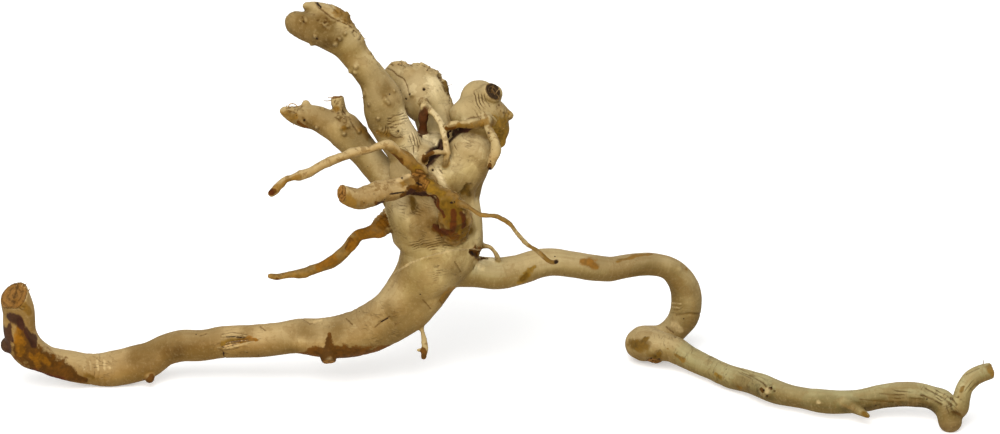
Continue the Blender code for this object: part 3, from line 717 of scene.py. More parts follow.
# %% [markdown]
# ## Noise
# Nothing on a root is even. The noise used here gives every corner of a lattice a random value between
# -1 and 1, worked out from the corner's own numbers so that it is the same on every run, and blends
# between corners. Called with different lattice sizes it gives bumps from a few tenths of a millimetre
# to some centimetres.

# %% Noise
HASH_STEPS = (73856093, 19349663, 83492791)
HASH_SEED_STEP = 2654435761
HASH_MIX = 1274126177
HASH_RANGE = 2**32


def smooth_step(low_edge, high_edge, values):
    """0 below the low edge, 1 above the high edge, and 3t^2 - 2t^3 between."""
    t = np.clip((values - low_edge) / (high_edge - low_edge), 0.0, 1.0)
    return t * t * (3 - 2 * t)


def noise(where, size, seed):
    """Random values from -1 to 1 at lattice corners a size apart, blended with weights 3t^2 - 2t^3."""
    scaled = where / np.asarray(size) + 1000.0
    cell = np.floor(scaled).astype(np.int64)
    part = scaled - cell
    part = part * part * (3 - 2 * part)
    total = np.zeros(len(where))
    for corner in range(8):
        step = np.array((corner & 1, corner >> 1 & 1, corner >> 2 & 1))
        mixed = ((cell + step) * HASH_STEPS).T
        value = (mixed[0] ^ mixed[1] ^ mixed[2] ^ (seed * HASH_SEED_STEP)) & (HASH_RANGE - 1)
        value = ((value ^ (value >> 13)) * HASH_MIX) & (HASH_RANGE - 1)
        value = ((value ^ (value >> 16)) * HASH_MIX) & (HASH_RANGE - 1)
        weight = np.prod(np.where(step == 1, part, 1.0 - part), axis=1)
        total += weight * (value / (HASH_RANGE / 2) - 1.0)
    return total


def rough_noise(where, size, seed):
    """Three layers of noise, each at half the size and half the height of the one before."""
    return (noise(where, size, seed) + 0.5 * noise(where, size / 2, seed + 1)
            + 0.25 * noise(where, size / 4, seed + 2)) / 1.75


sample = noise(points[:5000], 0.004, 1)
print("noise runs from", round(sample.min(), 2), "to", round(sample.max(), 2))

# %% [markdown]
# ## Marks that were seen
# Wrinkles, cracks and stains that show in front are written down where they were seen, in the same
# pixels as the stations. A mark belongs to the wood that is foremost there: the foremost distance is
# kept for every small square of the picture, thin twigs left out, and a mark fades where the surface
# turns away. A mark on a twig names its twig instead.

# %% Marks that were seen
SQUARE = 2.0
SQUARES_ACROSS = 500
SQUARES_DOWN = 250
FRONT_LAYER = 0.006

columns = np.clip((seen_right / SQUARE).astype(int), 0, SQUARES_ACROSS - 1)
rows = np.clip((seen_down / SQUARE).astype(int), 0, SQUARES_DOWN - 1)
foremost = np.full((SQUARES_DOWN, SQUARES_ACROSS), -1.0)
np.maximum.at(foremost, (rows[~on_twig], columns[~on_twig]), seen_toward[~on_twig])
facing = smooth_step(-0.4, 0.1, normals @ TOWARD)
in_front = facing * (~on_twig) * (seen_toward > foremost[rows, columns] - FRONT_LAYER)


def on_limbs(*names):
    """1 on the named limbs where they face the viewer, fading where they turn away."""
    return facing * limb_mask(*names)


def stroke_depth(stroke, right, down):
    """How deep points lie inside a stroke: 1 on its line, 0 at its half-width, less outside, at least -1.

    A stroke is a chain of (right, down, half-width). For each piece of the chain the nearest share t along
    it gives a distance and a half-width, and the depth is 1 - distance / half-width.
    """
    chain = np.array(stroke if len(stroke) > 1 else [stroke[0], stroke[0]], dtype=float)
    widest = chain[:, 2].max()
    low_corner = chain[:, :2].min(axis=0) - 3 * widest
    high_corner = chain[:, :2].max(axis=0) + 3 * widest
    near = np.flatnonzero((right > low_corner[0]) & (right < high_corner[0])
                          & (down > low_corner[1]) & (down < high_corner[1]))
    depth = np.full(POINT_COUNT, -1.0)
    inner = np.full(len(near), -1.0)
    for begin, end in zip(chain[:-1], chain[1:]):
        way = end[:2] - begin[:2]
        offset_right = right[near] - begin[0]
        offset_down = down[near] - begin[1]
        t = np.clip((offset_right * way[0] + offset_down * way[1]) / max(way @ way, 1e-9), 0.0, 1.0)
        distance = np.hypot(offset_right - t * way[0], offset_down - t * way[1])
        inner = np.maximum(inner, 1.0 - distance / (begin[2] + t * (end[2] - begin[2])))
    depth[near] = inner
    return depth


# Stains have run and dried, so their outlines wander: these places are shifted by noise.
strayed_right = seen_right + 2.4 * noise(points, 0.0055, 61) + 1.1 * noise(points, 0.0020, 62)
strayed_down = seen_down + 2.4 * noise(points, 0.0055, 63) + 1.1 * noise(points, 0.0020, 64)


def marked(strokes, mask, right=seen_right, down=seen_down):
    """The deepest of several strokes, drawn back to -1 where the mask is 0."""
    depth = np.full(POINT_COUNT, -1.0)
    for stroke in strokes:
        depth = np.maximum(depth, stroke_depth(stroke, right, down))
    return (np.maximum(depth, -1.0) + 1.0) * mask - 1.0


print("points of the front layer:", int((in_front > 0.5).sum()))

# %% [markdown]
# ## Relief all over
# Debarked root wood is smooth to the hand, yet never flat: it has soft lumps, shallow furrows along the
# fibres, and creases across them where the root shrank as it dried. All of it is added as one height per
# point, outward from the skin. Thin twigs get less, and the fibre patterns fade where two limbs meet,
# because a fibre direction means nothing there.

# %% Relief all over
thick = np.clip(girth / 0.008, 0.15, 1.0)
away_from_seam = smooth_step(0.0002, 0.0015, second - best)
height = thick * (0.00026 * noise(points, 0.010, 11) + 0.00015 * noise(points, 0.0048, 12)
                  + 0.00006 * noise(points, 0.0024, 13))

fibre_place = unbent + 0.0008 * noise(points, 0.012, 21)[:, None]
furrows = noise(fibre_place, (0.022, 0.0030, 0.0030), 22)
height -= 0.00016 * thick * away_from_seam * smooth_step(0.15, 0.75, furrows)

crease_place = unbent.copy()
crease_place[:, 0] += 0.0016 * noise(points, 0.007, 31) + 0.0005 * noise(points, 0.0022, 32)
creases = 1.0 - np.abs(noise(crease_place, (0.0028, 0.014, 0.014), 33))
crease_area = smooth_step(0.05, 0.55, noise(points, 0.026, 34))
height -= 0.00020 * thick * away_from_seam * crease_area * creases**5

# Twigs dry unevenly: small swellings every few millimetres, and finer ones between them.
uneven = 1.0 * on_twig
uneven[limb_mask("thick twig")] = 0.35
uneven[limb_mask("lower twig")] = 0.55
swells = 0.18 * noise(unbent, (0.0046, 0.02, 0.02), 41) + 0.13 * noise(points, 0.0019, 42)
height += uneven * girth * swells
print("relief so far runs from", round(height.min() * 1000, 2), "to", round(height.max() * 1000, 2), "mm")

# %% [markdown]
# ## Crust on the heads
# The heads of the lobes are rough like cauliflower, where dozens of fine roots once left the wood. The
# crust is noise folded at zero, which makes rounded grains with sharp valleys between them. It covers
# the ends of the lobes all round, and the spots in front where it was seen.

# %% Crust on the heads
CRUST_SPOTS = [[(341, 9, 8), (352, 20, 10), (361, 34, 7)], [(372, 50, 4), (382, 66, 4)], [(389, 62, 5),
    (403, 62, 4), (420, 62, 4), (437, 69, 4), (449, 86, 4), (452, 102, 3)], [(284, 109, 6), (300, 108, 6)],
    [(336, 102, 6), (346, 118, 5)], [(380, 132, 6), (387, 130, 4)], [(500, 108, 5), (508, 118, 5)],
    [(498, 132, 9)], [(303, 21, 5)], [(325, 23, 7)]]
HEAD_STRETCHES = {"tall lobe": 0.80, "side lobe": 0.82, "back lobe": 0.80, "tall prong": 0.3,
                  "finger 0": 0.2, "finger 1": 0.2, "finger 2": 0.2, "finger 3": 0.2, "finger 4": 0.2}

behind = 1.0 - smooth_step(-0.5, -0.1, normals @ TOWARD)
crust = smooth_step(-0.3, 0.5, marked(CRUST_SPOTS, in_front) + 0.25 * noise(points, 0.004, 50))
for name, share in HEAD_STRETCHES.items():
    on_head = limb_mask(name) * smooth_step(share, share + 0.12, limb_share)
    crust = np.maximum(crust, on_head * np.maximum(behind, 0.22))
grains = np.abs(noise(points, 0.0036, 51)) + 0.55 * np.abs(noise(points, 0.0018, 52))
gullies = (1.0 - np.abs(noise(points, 0.0017, 53))) ** 4
height += crust * (0.00105 * grains - 0.00040 * gullies - 0.00036)
print("crust covers", round(100 * float(crust.mean()), 1), "% of the points")

# %% [markdown]
# ## Wrinkle sets
# Where a limb bends or a twig leaves it, the skin of the wood is pushed into folds, like a sleeve. Each
# set is a patch of waves: its middle, half-length along the folds, half-width across them, the slope of
# the folds in degrees, their spacing and how much they curve. The wave's crests are broad and its
# valleys narrow, because a fold is a crease between two bulges. The wave's phase and strength are kept
# on the points too: the material draws the creases from them more crisply than the points can.

# %% Wrinkle sets
WRINKLE_GAIN = 1.5
DEEPEST_FOLD = 0.0006
RIB_GAP = 0.0017
# right, down, half-length, half-width, slope in degrees, spacing in pixels, curve, height in millimetres
WRINKLES = [(398, 121, 13, 10, 12, 3.3, 0.03, 0.44), (398, 133, 8, 7, 0, 2.6, -0.09, 0.34),
    (386, 133, 7, 7, 60, 2.6, 0.08, 0.4), (415, 140, 10, 8, -74, 3, 0, 0.3),
    (481, 101, 13, 9, -62, 3.3, 0.03, 0.36), (480, 112, 10, 8, -40, 3.2, 0.02, 0.2),
    (436, 243, 34, 9, 8, 2.7, -0.003, 0.34), (418, 226, 16, 7, 20, 3.4, -0.01, 0.07),
    (402, 207, 10, 9, -24, 3, 0.02, 0.22), (418, 211, 9, 6, -30, 2.8, 0.03, 0.2),
    (392, 230, 10, 7, 6, 3.4, 0.02, 0.1), (476, 262, 10, 9, 78, 3.6, 0, 0.1),
    (437, 166, 11, 7, -55, 2.8, 0, 0.4), (436, 146, 10, 8, 62, 3.8, 0.03, 0.32),
    (412, 146, 12, 8, 80, 4.4, 0, 0.24), (452, 150, 8, 7, -70, 3.4, 0, 0.25),
    (97, 364, 16, 8, 88, 5, 0.01, 0.2), (365, 318, 20, 14, -70, 5, 0.02, 0.07),
    (676, 308, 9, 8, 4, 3.4, 0.02, 0.14), (500, 132, 8, 9, -20, 3.4, 0.03, 0.34),
    (455, 196, 9, 6, 30, 2.8, 0.03, 0.24), (24, 310, 9, 6, -10, 3.2, 0.03, 0.28),
    (935, 396, 20, 8, -22, 3.6, 0.006, 0.3), (903, 396, 26, 8, -4, 4.2, 0, 0.24),
    (752, 377, 20, 6, -24, 3.8, 0, 0.2), (953, 408, 8, 9, -60, 3.6, 0.02, 0.2),
    (972, 386, 12, 7, 52, 3.4, 0, 0.2), (240, 344, 30, 12, -6, 5, 0, 0.1),
    (430, 200, 12, 10, -20, 3.6, 0.03, 0.18)]


def wrinkle_set(right, down, half_length, half_width, slope, spacing, curve, rise):
    """The phase and the height in metres of the waves across a patch, with a along the folds and b across.

    The phase is (b + curve a^2 + warp) / spacing. The height fades towards the patch's ragged oval edge,
    and noise leaves some folds out.
    """
    angle = math.radians(slope)
    offset_right = seen_right - right
    offset_down = seen_down - down
    a = offset_right * math.cos(angle) - offset_down * math.sin(angle)
    b = offset_right * math.sin(angle) + offset_down * math.cos(angle)
    warp = 2.6 * noise(points, 0.0075, int(right)) + 1.1 * noise(points, 0.0028, int(down))
    phase = (b + curve * a * a + warp) / spacing
    ragged = 0.35 * noise(points, 0.0030, int(right) + 1)
    oval = 1.0 - (a / half_length) ** 2 - (b / half_width) ** 2 + ragged
    kept = 0.10 + 0.90 * smooth_step(-0.40, 0.50, noise(points, 0.0034, int(down) + 1))
    return phase, WRINKLE_GAIN * rise * MM * smooth_step(0.0, 0.7, oval) * kept * in_front


fold_phase = np.zeros(POINT_COUNT)
fold_height = np.zeros(POINT_COUNT)
for wrinkle in WRINKLES:
    phase, rise = wrinkle_set(*wrinkle)
    stronger = rise > fold_height
    fold_phase[stronger] = phase[stronger]
    fold_height[stronger] = rise[stronger]
height += fold_height * (0.3 - ((1.0 - np.cos(2 * math.pi * fold_phase)) / 2) ** 3)

# The collar where the lower twig leaves the trunk is ribbed all round.
collar = limb_mask("lower twig") * smooth_step(0.13, 0.02, np.abs(limb_share - 0.11))
height += collar * 0.00030 * np.cos(2 * math.pi * unbent[:, 0] / RIB_GAP)
print(len(WRINKLES), "wrinkle sets")

# %% [markdown]
# ## Cracks, pits and scars
# Drying opens cracks along the fibres; lost twigs leave pits; the saw and the spade leave scars. Each is
# a stroke again, now with a depth. The floor of a crack falls away quickly from its lips, so its profile
# is the square root of how deep a point lies inside the stroke.

# %% Cracks, pits and scars
# depth or height in millimetres, and the strokes that go so deep or so high
CUTS = [
    (0.8, [[(315, 0, 1.1), (319, 7, 1.3), (325, 12, 1.2), (331, 17, 1.2), (345, 23, 1), (352, 27, 0.7)]]),
    (0.45, [[(335, 22, 1.4), (341, 19, 1.5), (347, 21, 1.4)],
        [(341, 6, 1.2), (347, 9, 1.4), (350, 15, 1.2)], [(352, 14, 1.2), (357, 20, 1.3), (359, 28, 1.2)],
        [(329, 4, 1), (338, 12, 1.2)]]),
    (0.6, [[(387, 68, 0.8), (392, 70, 1), (397, 75, 0.9), (404, 79, 1), (407, 86, 1), (409, 96, 0.9)]]),
    (0.6, [[(438, 75, 1.4), (443, 82, 1.5), (446, 91, 1.4)], [(432, 66, 1.2), (438, 72, 1.2)]]),
    (0.5, [[(351, 122, 1), (354, 126, 1.3), (357, 131, 1)], [(335, 117, 1), (340, 121, 1.2)],
        [(303, 118, 1.6), (307, 124, 2)], [(288, 110, 1.3), (296, 113, 1.3)]]),
    (0.6, [[(219, 345, 2.6), (226, 341, 4), (238, 340, 3.4), (250, 341, 2.2), (259, 340, 0.8)]]),
    (0.3, [[(219, 348, 1.4), (223, 352, 1.8), (225, 358, 1)]]),
    (0.5, [[(260, 326, 1.2), (265, 330, 1.2)], [(303, 319, 1.3), (310, 323, 1.4), (318, 321, 1)],
        [(346, 318, 1), (352, 324, 1.2)], [(200, 335, 1), (206, 333, 1)]]),
    (0.6, [[(375, 327, 1), (381, 322, 1.4), (389, 317, 1)]]),
    (0.8, [[(424, 168, 3), (428, 162, 5.5), (434, 155, 5), (440, 150, 4.5), (444, 143, 4.5),
        (449, 137, 4.5), (456, 131, 3.5), (466, 127, 2.5), (476, 125, 1.6)]]),
    (0.9, [[(412, 200, 4), (414, 205, 5), (412, 212, 3.6)]]),
    (0.7, [[(463, 193, 2.5), (467, 188, 3.4), (471, 185, 2.4)]]),
    (2.2, [[(472, 252, 3), (479, 254, 4.5), (486, 256, 3.2)]]),
    (1.2, [[(398, 131, 2)], [(424, 89, 2.2)], [(325, 22, 2)], [(303, 21, 1.8)], [(402, 178, 1.6)]]),
    (0.8, [[(409, 94, 1.4)], [(405, 99, 1.4)], [(318, 20, 1.6)], [(337, 40, 1.6)], [(317, 39, 1.4)],
        [(557, 262, 1.8)], [(304, 121, 1.8)], [(433, 170, 1.3)]]),
    (0.45, [[(387, 121, 0.8), (394, 116, 1), (404, 113, 0.7)],
        [(388, 125, 0.8), (396, 120.5, 1), (405, 118.5, 0.7)],
        [(390, 128, 0.8), (397, 124.5, 1), (405, 123, 0.7)],
        [(390, 134, 0.8), (395, 138, 1), (403, 137, 0.7)]]),
    (0.35, [[(394, 273, 0.9), (410, 263, 0.9), (428, 256.5, 0.9), (452, 250.5, 0.9), (474, 249, 0.8)]]),
    (0.5, [[(676, 315, 1.3), (690, 313, 1.5), (702, 314, 1.2)], [(666, 327, 1.4), (676, 336, 1.4)]]),
    (0.7, [[(651, 359, 1.2)], [(655, 357, 1.2)], [(659, 360, 1.4)]]),
    (0.7, [[(742, 372, 1.1), (752, 376, 1.5), (763, 382, 1.6), (766, 386, 1.2)]]),
    (1.1, [[(763, 390, 1.7)], [(771, 387, 1.3)], [(767, 397, 1.5)], [(774, 391, 1.2)]]),
    (0.55, [[(926, 388, 1.4), (936, 393, 2), (945, 398, 2.2), (951, 405, 1.8)],
        [(921, 395, 1.3), (932, 399, 1.7), (941, 404, 1.8)]]),
    (0.4, [[(880, 393, 1), (895, 395, 1.3), (912, 398, 1.3), (925, 399, 1)],
        [(860, 399, 1), (876, 401, 1.2), (893, 402, 1)]]),
    (0.8, [[(953, 412, 1.6), (960, 415, 1.6)], [(951, 398, 1.5), (956, 405, 1.6)], [(958, 397, 1.4)]]),
    (0.5, [[(966, 374, 1), (974, 370, 1.3), (979, 368, 1)]]),
    (0.4, [[(440, 300, 0.9), (446, 309, 0.9)], [(455, 262, 0.9), (461, 272, 1)],
        [(423, 300, 0.8), (431, 309, 0.8)]]),
]
RISES = [
    (1, [[(226, 343, 1.6), (240, 342, 1.8), (254, 340.5, 1)],
        [(222, 336, 1.4), (232, 334, 1.6), (247, 336, 0.9)],
        [(218, 347, 1.6), (226, 348, 1.4), (238, 346, 1)]]),
    (0.5, [[(443, 274, 11), (442, 286, 8)]]),
    (1.6, [[(397, 131, 7)]]),
    (0.6, [[(350, 124, 5)], [(366, 128, 5)]]),
    (0.7, [[(345, 15, 4)], [(354, 13, 3)], [(349, 25, 3)]]),
    (0.6, [[(679, 269, 4.5)], [(819, 402, 2.5)]]),
    (0.9, [[(768, 391, 4)]]),
]

for cut_depth, strokes in CUTS:
    height -= cut_depth * MM * np.sqrt(np.clip(marked(strokes, in_front), 0.0, 1.0))
for rise_height, strokes in RISES:
    height += rise_height * MM * smooth_step(0.0, 1.0, marked(strokes, in_front))
print(len(CUTS), "depths of cut and", len(RISES), "of rise")

# %% [markdown]
# ## Cut and broken faces
# The saw left rings and radial checks on the thick ends, and the broken stubs are torn. A face is given
# by its middle and by the direction that it looks in.

# %% Cut and broken faces
# name, right, down, toward in mm, direction it faces, radius in pixels, depth of the dish, number of checks
END_FACES = {
    "left": (14.5, 295, 14, CUT_LEFT, 17, 0.35, 2), "thick": (341, 193, 61, CUT_THICK, 11, 0.5, 3),
    "front": (493.5, 91, 38.5, CUT_FRONT, 11, 0.9, 3), "right": (991.5, 370.5, 37, CUT_RIGHT, 10, 0.4, 4),
    "knot": (420.5, 181, 45, CUT_KNOT, 10, 0.5, 3), "side": (337, 96.5, 18, CUT_SIDE, 8, 0.5, 3),
    "hairpin": (657, 358.5, -33.5, CUT_HAIRPIN, 10, 0.6, 3), "knob": (329, 362.5, 3, CUT_KNOB, 8, 0.3, 3),
}
RING_GAP = 0.0010
end_masks = {}
for number, (name, (right, down, toward, look, reach, dish, checks)) in enumerate(END_FACES.items()):
    middle = place([(right, down, toward, 0.0)])[0][0]
    axis = faced(look)
    offset = standing - middle
    rise = offset @ axis
    flat = offset - rise[:, None] * axis
    radius = np.linalg.norm(flat, axis=1) / (reach * PIXEL)
    across_one = unit(np.cross(axis, ACROSS if abs(axis @ ACROSS) < 0.8 else UPWARD))
    angle = np.arctan2(flat @ np.cross(axis, across_one), flat @ across_one)
    # A face fades out past its reach, behind or before its plane, and where the skin looks elsewhere.
    mask = (smooth_step(1.25, 0.95, radius) * smooth_step(-0.0016, -0.0004, rise)
            * smooth_step(0.45, 0.8, normals @ axis) * (np.abs(rise) < 0.004))
    warped = radius + 0.10 * noise(flat, 0.0022, 60 + number)
    rings = np.cos(2 * math.pi * warped * 3.2)
    check = np.abs(np.sin(checks / 2 * angle + 0.6 * noise(flat, 0.003, 70 + number)))
    split = smooth_step(0.16, 0.03, check * radius + 0.03) * smooth_step(0.95, 0.5, radius)
    height += mask * MM * (0.10 * rings - dish * smooth_step(1.0, 0.0, radius) - 0.30 * split
                           + 0.12 * noise(points, 0.0011, 80 + number))
    end_masks[name] = mask * (1.0 + 0.14 * rings - 0.4 * split)
    ringed = mask > 0.3
    fold_phase[ringed] = (warped * reach * PIXEL / RING_GAP)[ringed]
    fold_height[ringed] = (0.4 * DEEPEST_FOLD * mask)[ringed]
    print("end face", name, "covers", int((mask > 0.5).sum()), "points")

# %% [markdown]
# ## Carving the skin
# Every point now moves along its outward direction by its height. Where the skin would leave the
# solid's box it is held back, and whatever dips below the floor is cut level: those are the three worn
# feet. What lies in a hollow is also worked out here, as the gap to a smoothed copy of the skin, because
# the material paints shade into the hollows and a highlight onto what stands proud.

# %% Carving the skin
HOLLOW_STEPS = 14


def neighbour_mean(values):
    """For every point, the mean of its neighbours' values: sums over the edges, divided by their number."""
    count = np.bincount(edges.ravel(), minlength=POINT_COUNT)
    means = []
    for column in values.T:
        total = (np.bincount(edges[:, 0], weights=column[edges[:, 1]], minlength=POINT_COUNT)
                 + np.bincount(edges[:, 1], weights=column[edges[:, 0]], minlength=POINT_COUNT))
        means.append(total / count)
    return np.stack(means, axis=1)


def room_to_box(where, ways):
    """How far each point can go on its way before it meets a wall of the solid's box."""
    walls = np.where(ways > 0, wood_high, wood_low)
    return (np.abs(walls - where) / np.maximum(np.abs(ways), 0.001)).min(axis=1)


room = room_to_box(points, normals)
outward = np.maximum(height, 0.0)
height = np.minimum(height, outward * room / (outward + room + 1e-9))
carved = points + normals * height[:, None]
settled = carved.copy()
for step in range(HOLLOW_STEPS):
    settled = neighbour_mean(settled)
    if step == 1:
        narrow_hollow = ((settled - carved) * normals).sum(axis=1)
wide_hollow = ((settled - carved) * normals).sum(axis=1)
# Painted shade: the colour is darkened where a point lies in a hollow or a crease.
hollow_shade = smooth_step(0.0, 0.00012, narrow_hollow) * 0.6 + smooth_step(0.0, 0.0009, wide_hollow) * 0.7
# Where the wood was torn lately, most of the painted shade in its hollows is left out.
FRESH_SPOTS = [[(220, 344, 5), (232, 341, 6), (250, 341, 4)], [(329, 362, 5)]]
hollow_shade *= 1.0 - 0.85 * smooth_step(-0.3, 0.4, marked(FRESH_SPOTS, in_front))
# Painted highlight: the colour is made paler where a point stands proud.
proud_highlight = smooth_step(0.0, 0.0006, -wide_hollow)
inside = np.clip(carved, np.append(wood_low[:2], 0.0), wood_high)
print("relief runs from", round(height.min() * 1000, 2), "to", round(height.max() * 1000, 2), "mm;",
      int((carved[:, 2] < 0).sum()), "points worn level")
